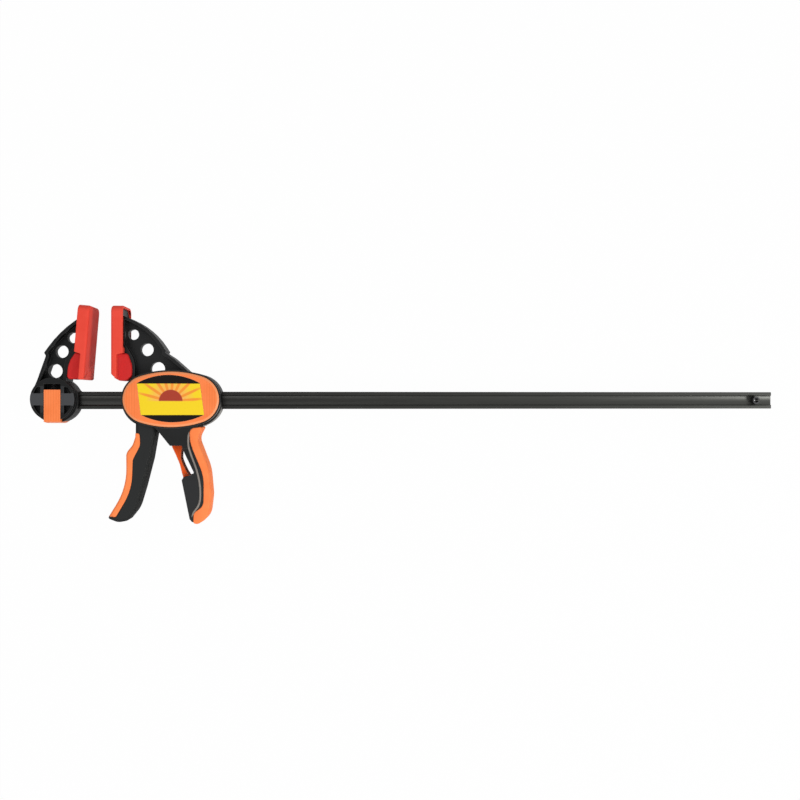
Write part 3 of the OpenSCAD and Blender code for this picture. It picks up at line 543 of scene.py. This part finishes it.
# ---------------------------------------------------------------- bead

# The bead's way down the handle, its half width and height, the face of the grip that it stands on
# and how much further out the neck's face is, above NECK_FROM
bead_way = np.array([
    [18.2, -31.1], [17.2, -35.8], [16.8, -43.7], [17.8, -50.0], [18.9, -53.9], [20.9, -59.4],
    [24.0, -67.4], [26.4, -75.3], [28.2, -83.2], [29.0, -91.0], [29.3, -97.3], [28.8, -103.6],
    [27.6, -108.7], [24.9, -111.9], [22.3, -114.6], [20.6, -118.5], [20.3, -121.6]])
BEAD_HALF, BEAD_H = 1.0, 0.9
GRIP_FACE, NECK_OUT, NECK_FROM = 13.5, 1.5, -52
BEAD_RINGS, BEAD_POINTS, BLUR = 120, 16, 9


def handle_bead():
    """The raised bead of the moulding beside the soft grip: an ellipse, half of it sunk in, carried
    along a smooth path, its height and width fading at both ends with the sine of the way along. It
    climbs from the grip's face to the neck's, which stands out further."""
    walked = walk(bead_way)
    fine = np.linspace(0, walked[-1], BEAD_RINGS)
    path = np.stack([np.interp(fine, walked, bead_way[:, k]) for k in (0, 1)], -1)
    weight = np.exp(-0.5 * (np.arange(-BLUR, BLUR + 1) / 4.0) ** 2)
    weight /= weight.sum()
    path = np.stack([np.convolve(np.pad(path[:, k], BLUR, "edge"), weight, "valid")
                     for k in (0, 1)], -1)
    along = unit(np.gradient(path, axis=0))
    side = np.stack([-along[:, 1], along[:, 0]], -1)
    ends = np.sin(np.pi * np.linspace(0.004, 0.996, BEAD_RINGS))
    fade = np.clip(ends * 6, 0.05, 1)[:, None]
    a = np.linspace(0, 2 * np.pi, BEAD_POINTS, endpoint=False)
    flat = path[:, None] + side[:, None] * (BEAD_HALF * np.cos(a) * fade)[..., None]
    face = GRIP_FACE + NECK_OUT * smooth_step((path[:, 1:] - NECK_FROM) / 3)
    rise = face + BEAD_H * np.sin(a) * fade
    rings = np.concatenate([flat, rise[..., None]], -1) * MM + HEAD
    return finished(solid("handle_bead", rings, inside_out=True), "head", "black_nylon")


bead = handle_bead()


# ---------------------------------------------------------------- materials

CLOUDS = 60.0  # a metre, so each is 17 mm across


def colour(text):
    """A colour written as sRGB hex, as the linear numbers that a shader socket takes."""
    s = np.array([int(text[i:i + 2], 16) for i in (1, 3, 5)]) / 255
    return (*np.where(s <= 0.04045, s / 12.92, ((s + 0.055) / 1.055) ** 2.4).tolist(), 1.0)


def add(tree, kind, inputs=None, **settings):
    """Adds one shader node. settings are its own properties, and inputs gives a socket's value or
    the output that feeds it."""
    made = tree.nodes.new("ShaderNode" + kind)
    for name, value in settings.items():
        setattr(made, name, value)
    for name, value in (inputs or {}).items():
        if isinstance(value, bpy.types.NodeSocket):
            tree.links.new(value, made.inputs[name])
        else:
            made.inputs[name].default_value = value
    return made


def start(name):
    """A new material: its node tree, its Principled shader and its Object coordinates."""
    material = bpy.data.materials.new(name)
    material.use_nodes = True
    tree = material.node_tree
    shader = tree.nodes["Principled BSDF"]
    return material, tree, shader, add(tree, "TexCoord").outputs["Object"]


def moulded(name, dark, light, roughness, gloss, grain_mm, grain_depth, edge_mm, edge_highlight_colour,
            edge_highlight_share):
    """A moulded plastic: faint clouding between two shades, the grain of its mould, and corners
    that are rounded in the shading and carry a painted highlight, a share of a paler colour.

    A real mould's grain is a few tenths of a millimetre wide. grain_mm is larger: it is drawn as
    coarse as it needs to be to show.
    """
    material, tree, shader, place = start(name)
    cloud = add(tree, "TexNoise", {"Vector": place, "Scale": CLOUDS, "Detail": 3.0,
                                   "Roughness": 0.6}).outputs["Fac"]
    tint = add(tree, "ValToRGB", {"Fac": cloud})
    for stop, at, shade in zip(tint.color_ramp.elements, (0.35, 0.65), (dark, light)):
        stop.position, stop.color = at, colour(shade)
    round_off = add(tree, "Bevel", {"Radius": edge_mm * MM}, samples=6).outputs["Normal"]
    flat = add(tree, "NewGeometry").outputs["Normal"]
    # Painted highlight: where the rounded normal turns away from the flat one, a share of a paler
    # colour is mixed in
    match = add(tree, "VectorMath", {0: round_off, 1: flat}, operation="DOT_PRODUCT")
    edge = add(tree, "MapRange", {"Value": match.outputs["Value"], "From Min": 0.995,
                                  "From Max": 0.80, "To Min": 0.0, "To Max": edge_highlight_share})
    mixed = add(tree, "Mix", {"Factor": edge.outputs["Result"], "A": tint.outputs["Color"],
                              "B": colour(edge_highlight_colour)}, data_type="RGBA")
    grain = add(tree, "TexNoise", {"Vector": place, "Scale": 1 / (grain_mm * MM), "Detail": 2.0})
    bump = add(tree, "Bump", {"Height": grain.outputs["Fac"], "Normal": round_off,
                              "Strength": 0.35, "Distance": grain_depth * MM})
    rub = add(tree, "MapRange", {"Value": cloud, "From Min": 0.3, "From Max": 0.7,
                                 "To Min": roughness - 0.06, "To Max": roughness + 0.06})
    tree.links.new(mixed.outputs[2], shader.inputs["Base Color"])
    tree.links.new(bump.outputs["Normal"], shader.inputs["Normal"])
    tree.links.new(rub.outputs["Result"], shader.inputs["Roughness"])
    shader.inputs["IOR"].default_value = 1.53
    shader.inputs["Specular IOR Level"].default_value = gloss
    return material, tree, shader, place


def mixed_in(tree, shader, share, shade):
    """Mixes a shade over what feeds the shader's colour, by a share from 0 to 1."""
    fed = shader.inputs["Base Color"].links[0].from_socket
    mix = add(tree, "Mix", {"Factor": share, "A": fed, "B": colour(shade)}, data_type="RGBA")
    tree.links.new(mix.outputs[2], shader.inputs["Base Color"])


def broad_faces(tree):
    """Share from 0 on the flanks to 1 on faces that look straight out of the clamp's two sides."""
    way = add(tree, "SeparateXYZ", {"Vector": add(tree, "NewGeometry").outputs["Normal"]})
    flat = add(tree, "Math", {0: way.outputs["Z"]}, operation="ABSOLUTE")
    return add(tree, "MapRange", {"Value": flat.outputs["Value"], "From Min": 0.7,
                                  "From Max": 0.98}).outputs["Result"]


def within(tree, value, middle_at, half, fade):
    """Share that is 1 where a value lies within half of a middle, and 0 a fade further out."""
    off = add(tree, "Math", {0: value, 1: middle_at}, operation="SUBTRACT")
    off = add(tree, "Math", {0: off.outputs["Value"]}, operation="ABSOLUTE")
    return add(tree, "MapRange", {"Value": off.outputs["Value"], "From Min": half + fade,
                                  "From Max": half}).outputs["Result"]


def glass_filled_nylon():
    """Glass-filled nylon from a spark-eroded mould: near-black and dull, greyer on its corners as a
    painted highlight. The handle's two faces are a shade paler below the neck, and the flank of the
    housing that looks back and down has a grey patch of painted highlight."""
    material, tree, shader, place = moulded(
        "glass_filled_nylon", "#080909", "#0f1011", roughness=0.52, gloss=0.17, grain_mm=0.9,
        grain_depth=0.05, edge_mm=0.7, edge_highlight_colour="#4c4b49", edge_highlight_share=0.75)
    axes = add(tree, "SeparateXYZ", {"Vector": place}).outputs
    low = add(tree, "MapRange", {"Value": axes["Y"], "From Min": BAR_Y - 56 * MM,
                                 "From Max": BAR_Y - 84 * MM}).outputs["Result"]
    share = add(tree, "Math", {0: low, 1: broad_faces(tree)}, operation="MULTIPLY")
    mixed_in(tree, shader, share.outputs["Value"], "#1d1e1f")
    # Painted highlight: a grey patch on the flank of the housing that looks back and down
    way = add(tree, "SeparateXYZ", {"Vector": add(tree, "NewGeometry").outputs["Normal"]}).outputs
    back = add(tree, "MapRange", {"Value": way["X"], "From Min": 0.15, "From Max": 0.6})
    down = add(tree, "MapRange", {"Value": way["Y"], "From Min": 0.1, "From Max": -0.4})
    flank_highlight = back.outputs["Result"]
    for share in (down.outputs["Result"],
                  within(tree, axes["X"], HEAD_X + 45 * MM, 24 * MM, 4 * MM),
                  within(tree, axes["Y"], OVAL_Y - 19 * MM, 13 * MM, 4 * MM)):
        flank_highlight = add(tree, "Math", {0: flank_highlight, 1: share}, operation="MULTIPLY").outputs["Value"]
    mixed_in(tree, shader, flank_highlight, "#807d79")
    return material


def jaw_nylon():
    """The same nylon on the fixed jaw, greyer on its corners as a painted highlight, with painted
    light on the boss's face, which stands out furthest: a grey band along the bar and fainter grey
    ribs beside the button."""
    material, tree, shader, place = moulded(
        "glass_filled_nylon_jaw", "#080909", "#0f1011", roughness=0.54, gloss=0.13, grain_mm=0.9,
        grain_depth=0.05, edge_mm=0.7, edge_highlight_colour="#4c4b49", edge_highlight_share=0.75)
    axes = add(tree, "SeparateXYZ", {"Vector": place}).outputs
    # Painted light: the boss's outermost faces that look out of the sides are greyed as lit, in a
    # band along the bar and fainter ribs beside the button
    lit_band = within(tree, axes["Y"], OVAL_Y, 6.2 * MM, 0.5 * MM)
    rib_shading = within(tree, axes["X"], BOSS_X, 11.8 * MM, 0.5 * MM)
    for share in (within(tree, axes["Y"], OVAL_Y, 13.0 * MM, 0.8 * MM), 0.35):
        rib_shading = add(tree, "Math", {0: rib_shading, 1: share}, operation="MULTIPLY").outputs["Value"]
    both = add(tree, "Math", {0: lit_band, 1: rib_shading}, operation="MAXIMUM").outputs["Value"]
    off = add(tree, "Math", {0: axes["Z"], 1: MID_Z}, operation="SUBTRACT")
    off = add(tree, "Math", {0: off.outputs["Value"]}, operation="ABSOLUTE")
    out = add(tree, "MapRange", {"Value": off.outputs["Value"], "From Min": 12.6 * MM,
                                 "From Max": 14.8 * MM}).outputs["Result"]
    for share in (out, broad_faces(tree)):
        both = add(tree, "Math", {0: both, 1: share}, operation="MULTIPLY").outputs["Value"]
    mixed_in(tree, shader, both, "#3f4042")
    return material


def lever_nylon():
    """The same nylon on the lever, painted with light and shade: nearly black on its flanks as
    shaded, grey on its two broad faces as lit, and greyer on its corners as a painted highlight.
    """
    material, tree, shader, _ = moulded(
        "lever_nylon", "#040404", "#070707", roughness=0.60, gloss=0.03, grain_mm=0.9,
        grain_depth=0.05, edge_mm=0.9, edge_highlight_colour="#74716d", edge_highlight_share=0.7)
    # Painted light: the two broad faces turned grey as lit, while the flanks stay nearly black as
    # shaded
    mixed_in(tree, shader, broad_faces(tree), "#2c2d2d")
    return material


def bead_nylon_painted_highlight():
    """The same nylon on the bead: painted pale grey as a highlight along it, and nearly smooth."""
    return moulded("bead_nylon_painted_highlight", "#77716b", "#857f78", roughness=0.40, gloss=0.30, grain_mm=0.9,
                   grain_depth=0.02, edge_mm=0.3, edge_highlight_colour="#a09a92", edge_highlight_share=0.6)[0]


def orange_abs():
    """Moulded ABS with a fine satin: strong orange, paler on its corners as a painted highlight.
    The shading of faint ribs 2.6 mm apart is painted as darker stripes down the covers' two ends,
    and the sloping edge is painted paler as a highlight."""
    material, tree, shader, place = moulded(
        "orange_abs", "#f07a3a", "#f58143", roughness=0.45, gloss=0.30, grain_mm=1.2,
        grain_depth=0.02, edge_mm=0.8, edge_highlight_colour="#f0a27c", edge_highlight_share=0.8)
    axes = add(tree, "SeparateXYZ", {"Vector": place}).outputs
    # Painted shade: darker stripes 2.6 mm apart stand for the shading of faint ribs on the covers'
    # ends
    x = add(tree, "Math", {0: axes["X"], 1: HEAD_X}, operation="SUBTRACT").outputs["Value"]
    rib_shading = add(tree, "Math", {0: x, 1: 2 * np.pi / (2.6 * MM)}, operation="MULTIPLY")
    rib_shading = add(tree, "Math", {0: rib_shading.outputs["Value"]}, operation="COSINE").outputs["Value"]
    rib_shading = add(tree, "MapRange", {"Value": rib_shading, "From Min": 0.2, "To Max": 0.45})
    side = add(tree, "Math", {0: x}, operation="ABSOLUTE").outputs["Value"]
    side = add(tree, "MapRange", {"Value": side, "From Min": 33 * MM, "From Max": 36 * MM})
    both = add(tree, "Math", {0: rib_shading.outputs["Result"], 1: side.outputs["Result"]},
               operation="MULTIPLY")
    mixed_in(tree, shader, both.outputs["Value"], "#d96a2c")
    # Painted highlight: the covers' sloping edge is drawn paler
    slope = add(tree, "Attribute", attribute_name="slope", attribute_type="GEOMETRY")
    mixed_in(tree, shader, slope.outputs["Fac"], "#ec935f")
    return material


def release_abs():
    """Moulded ABS in a deeper, redder orange than the covers, with a broad painted highlight on its
    rounded corners.
    """
    return moulded("release_abs", "#e0501a", "#e95b22", roughness=0.60, gloss=0.06, grain_mm=1.2,
                   grain_depth=0.02, edge_mm=1.4, edge_highlight_colour="#ee9a70", edge_highlight_share=0.9)[0]


def thermoplastic_elastomer():
    """Overmoulded elastomer: dull orange with a fine grain like skin, and paler rolled edges as a
    painted highlight.
    """
    return moulded("thermoplastic_elastomer", "#f78045", "#fb894e", roughness=0.70, gloss=0.15,
                   grain_mm=0.8, grain_depth=0.08, edge_mm=0.6, edge_highlight_colour="#f0a27c",
                   edge_highlight_share=0.4)[0]


def soft_pvc():
    """Soft PVC of the jaw pads: dull red, a deeper red on the boot as painted shade, and paler
    edges as a painted highlight."""
    material, tree, shader, _ = moulded(
        "soft_pvc", "#e04333", "#e54a3a", roughness=0.60, gloss=0.15, grain_mm=1.4,
        grain_depth=0.06, edge_mm=0.5, edge_highlight_colour="#f0705f", edge_highlight_share=0.5)
    # Painted shade: the cup, marked by the attribute boot, is drawn a deeper red
    boot = add(tree, "Attribute", attribute_name="boot", attribute_type="GEOMETRY")
    mixed_in(tree, shader, boot.outputs["Fac"], "#c42423")
    return material


def steel(name, dark, light, roughness, lines_a_metre, metallic=1.0, hollow_mm=0.0):
    """Drawn or rolled steel: fine lines along one direction in colour and roughness.

    lines_a_metre counts them along X, Y and Z. hollow_mm is only for the bar: how deep its faces
    sink along their middle, a parabola 9 mm wide. Its colour then also turns greyer, from 60 mm
    beyond the head to the free end, as a painted sheen.
    """
    material, tree, shader, place = start(name)
    drawn = add(tree, "Mapping", {"Vector": place, "Scale": lines_a_metre})
    lines = add(tree, "TexNoise", {"Vector": drawn.outputs["Vector"], "Scale": 1.0, "Detail": 4.0,
                                   "Roughness": 0.65}).outputs["Fac"]
    tint = add(tree, "ValToRGB", {"Fac": lines})
    for stop, at, shade in zip(tint.color_ramp.elements, (0.3, 0.7), (dark, light)):
        stop.position, stop.color = at, colour(shade)
    rub = add(tree, "MapRange", {"Value": lines, "From Min": 0.3, "From Max": 0.7,
                                 "To Min": roughness - 0.07, "To Max": roughness + 0.07})
    round_off = add(tree, "Bevel", {"Radius": 0.4 * MM}, samples=4)
    bump = add(tree, "Bump", {"Height": lines, "Normal": round_off.outputs["Normal"],
                              "Strength": 0.2, "Distance": 0.02 * MM})
    tree.links.new(tint.outputs["Color"], shader.inputs["Base Color"])
    tree.links.new(rub.outputs["Result"], shader.inputs["Roughness"])
    shader.inputs["Metallic"].default_value = metallic
    if hollow_mm:
        axes = add(tree, "SeparateXYZ", {"Vector": place}).outputs
        across = add(tree, "MapRange", {
            "Value": axes["Y"], "From Min": BAR_Y - 4.5 * MM, "From Max": BAR_Y + 4.5 * MM,
            "To Min": -1.0, "To Max": 1.0}).outputs["Result"]
        sunk = add(tree, "Math", {0: across, 1: across}, operation="MULTIPLY").outputs["Value"]
        bump = add(tree, "Bump", {"Height": sunk, "Normal": bump.outputs["Normal"],
                                  "Strength": 1.0, "Distance": hollow_mm * MM})
        # Painted reflection: the bar greys towards its free end as a lamp's sheen on the metal
        along = add(tree, "MapRange", {"Value": axes["X"], "From Min": HEAD_X + 60 * MM,
                                       "From Max": BAR_END, "To Max": 0.5})
        mixed_in(tree, shader, along.outputs["Result"], "#575854")
    tree.links.new(bump.outputs["Normal"], shader.inputs["Normal"])
    return material


# The label's print: how far below its middle the sun's middle lies, the radii of the sun's disc and
# of the glow round it, how many rays a full circle would hold, and how high the black starts
SUN_DOWN, SUN_R, GLOW_TO, RAYS, BLACK_FROM = 2.2, 12.0, 25.0, 18.0, 16.05
# Distances from the sun's middle between which the rays thin out
RAYS_FROM, RAYS_TO = 14.0, 34.0


def printed_label():
    """Printed film on the domed label, satin: a yellow field with a plain half sun and its rays,
    black above and below."""
    material, tree, shader, place = start("printed_label")
    centred = add(tree, "Mapping", {"Vector": place, "Scale": (1000, 1000, 1000),
                                    "Location": (-HEAD_X * 1000, -OVAL_Y * 1000, 0)})
    axes = add(tree, "SeparateXYZ", {"Vector": centred.outputs["Vector"]}).outputs
    up = add(tree, "Math", {0: axes["Y"], 1: SUN_DOWN}, operation="ADD").outputs["Value"]
    angle = add(tree, "Math", {0: up, 1: axes["X"]}, operation="ARCTAN2").outputs["Value"]
    wave = add(tree, "Math", {0: angle, 1: RAYS}, operation="MULTIPLY").outputs["Value"]
    wave = add(tree, "Math", {0: wave}, operation="SINE").outputs["Value"]
    flat = add(tree, "CombineXYZ", {"X": axes["X"], "Y": up}).outputs["Vector"]
    far = add(tree, "VectorMath", {0: flat}, operation="LENGTH").outputs["Value"]
    narrow = add(tree, "MapRange", {"Value": far, "From Min": RAYS_FROM, "From Max": RAYS_TO,
                                    "To Min": -0.2, "To Max": 0.9}).outputs["Result"]
    ray = add(tree, "Math", {0: wave, 1: narrow}, operation="SUBTRACT").outputs["Value"]
    ray = add(tree, "MapRange", {"Value": ray, "From Min": -0.1, "From Max": 0.4})
    above = add(tree, "MapRange", {"Value": up, "From Min": 0.0, "From Max": 1.0}).outputs["Result"]
    glow = add(tree, "MapRange", {"Value": far, "From Min": SUN_R, "From Max": GLOW_TO,
                                  "To Min": 0.9, "To Max": 0.0})
    disc = add(tree, "MapRange", {"Value": far, "From Min": SUN_R + 0.4, "From Max": SUN_R - 0.4})
    tall = add(tree, "Math", {0: axes["Y"]}, operation="ABSOLUTE").outputs["Value"]
    black = add(tree, "MapRange", {"Value": tall, "From Min": BLACK_FROM - 0.15,
                                   "From Max": BLACK_FROM + 0.15})
    printed = colour("#efcf28")
    for layer, only, shade in ((glow, above, "#f2a863"), (ray, above, "#ee9338"),
                               (disc, above, "#a53f2e"), (black, 1.0, "#120e0c")):
        share = add(tree, "Math", {0: layer.outputs["Result"], 1: only}, operation="MULTIPLY")
        printed = add(tree, "Mix", {"Factor": share.outputs["Value"], "A": printed,
                                    "B": colour(shade)}, data_type="RGBA").outputs[2]
    tree.links.new(printed, shader.inputs["Base Color"])
    shader.inputs["Roughness"].default_value = 0.40
    shader.inputs["IOR"].default_value = 1.50
    shader.inputs["Specular IOR Level"].default_value = 0.08
    return material


# The bar's lines are 60 mm long and 0.8 mm apart, those of the pins and plates 17 mm long and
# 1.1 mm apart, and the springs have patches 1.25 mm across. Real lines are about 0.1 mm apart:
# these are drawn as coarse as they need to be to show. Black oxide and phosphate dull the metal,
# and zinc leaves it bright
bar_steel = steel("black_oxide_steel", "#181817", "#262624", roughness=0.36, metallic=0.75,
                  lines_a_metre=(16, 1200, 1200), hollow_mm=0.8)
bright_steel = steel("zinc_plated_steel", "#8f9092", "#a9aaac", roughness=0.32,
                     lines_a_metre=(900, 900, 60))
spring_wire = steel("phosphated_spring_wire", "#1c1c1d", "#29292a", roughness=0.50, metallic=0.5,
                    lines_a_metre=(800, 800, 800))
pin_steel = steel("blackened_spring_pin", "#343435", "#454546", roughness=0.45,
                  lines_a_metre=(900, 900, 60))
plate_steel = steel("hardened_plate", "#55565a", "#6b6c70", roughness=0.38,
                    lines_a_metre=(900, 60, 900))
orange, elastomer, pvc = orange_abs(), thermoplastic_elastomer(), soft_pvc()

for material, names in (
        (bar_steel, ["bar"]), (pin_steel, ["stop_pin"]), (jaw_nylon(), ["fixed_jaw"]),
        (glass_filled_nylon(), ["head_body"]), (lever_nylon(), ["trigger_lever"]),
        (orange, ["lock_button"]), (release_abs(), ["release_trigger"]),
        (bright_steel, ["lock_pin", "cover_screws", "trigger_pin", "release_pin"]),
        (spring_wire, ["lock_springs", "drive_spring", "brake_spring"]),
        (plate_steel, ["drive_plates", "brake_plate"])):
    for name in names:
        for held in nodes[name].material_slots:
            held.material = material
for material, pieces in (
        (elastomer, [handle_grip, trigger_grip]), (pvc, [fixed_pad, moving_pad]),
        (orange, [front_cover, rear_cover]), (printed_label(), [label_sheet]),
        (bead_nylon_painted_highlight(), [bead])):
    for piece in pieces:
        piece.data.materials.clear()
        piece.data.materials.append(material)


# ---------------------------------------------------------------- floor and light

FLOOR_HALF = 4  # metres
FLOOR_WHITE = 0.985  # the rest is the lit floor, which holds the clamp's shadow
DIFFUSE_LIGHT = 0.42  # strength of the white surroundings as light on dull surfaces
LAMPS_AIM = Vector((-0.15, 0.0, 0.0))  # metres
# Name, place and size in metres, and power in watts
LAMPS = (("lamp_front", (-0.5, -0.9, 1.1), 0.7, 7.0),
         ("lamp_back", (-0.7, 0.7, 1.3), 0.9, 5.5),
         ("lamp_side", (1.2, -0.45, 0.85), 0.4, 15.0))


def floor():
    """Plain pale floor, white to the camera but for a trace of the clamp's shadow, and clear from
    below."""
    f = FLOOR_HALF
    mesh = bpy.data.meshes.new("floor")
    mesh.from_pydata([(-f, -f, 0), (f, -f, 0), (f, f, 0), (-f, f, 0)], [], [(0, 1, 2, 3)])
    plane = bpy.data.objects.new("floor", mesh)
    bpy.context.scene.collection.objects.link(plane)
    material, tree, shader, _ = start("pale_floor")
    shader.inputs["Base Color"].default_value = colour("#c4c4c4")
    shader.inputs["Roughness"].default_value = 0.9
    shader.inputs["Specular IOR Level"].default_value = 0.0
    path = add(tree, "LightPath").outputs
    seen = add(tree, "Math", {0: path["Is Camera Ray"], 1: path["Is Glossy Ray"]},
               operation="MAXIMUM").outputs["Value"]
    white = add(tree, "Emission", {"Color": (1, 1, 1, 1), "Strength": 1.0}).outputs["Emission"]
    share = add(tree, "Math", {0: seen, 1: FLOOR_WHITE}, operation="MULTIPLY").outputs["Value"]
    lit = add(tree, "MixShader", {0: share, 1: shader.outputs["BSDF"], 2: white})
    under = add(tree, "MixShader", {0: add(tree, "NewGeometry").outputs["Backfacing"],
                                    1: lit.outputs["Shader"],
                                    2: add(tree, "BsdfTransparent").outputs["BSDF"]})
    tree.links.new(under.outputs["Shader"], tree.nodes["Material Output"].inputs["Surface"])
    mesh.materials.append(material)


def studio():
    """Plain white surroundings and three soft lamps: above the handles, above the jaws, and beside
    the bar's free end."""
    world = bpy.data.worlds.new("studio")
    bpy.context.scene.world = world
    world.use_nodes = True
    tree = world.node_tree
    path = add(tree, "LightPath").outputs
    seen = path["Is Camera Ray"]
    for ray in ("Is Glossy Ray", "Is Transmission Ray"):
        seen = add(tree, "Math", {0: seen, 1: path[ray]}, operation="MAXIMUM").outputs["Value"]
    strength = add(tree, "MapRange", {"Value": seen, "To Min": DIFFUSE_LIGHT, "To Max": 1.0})
    background = tree.nodes["Background"].inputs
    tree.links.new(strength.outputs["Result"], background["Strength"])
    background["Color"].default_value = (1, 1, 1, 1)
    for name, at, size, power in LAMPS:
        lamp = bpy.data.lights.new(name, "AREA")
        lamp.size, lamp.energy = size, power
        held = bpy.data.objects.new(name, lamp)
        bpy.context.scene.collection.objects.link(held)
        held.location = at
        held.rotation_euler = (LAMPS_AIM - Vector(at)).to_track_quat("-Z", "Y").to_euler()


floor()
studio()
bpy.context.scene.view_settings.view_transform = "Standard"
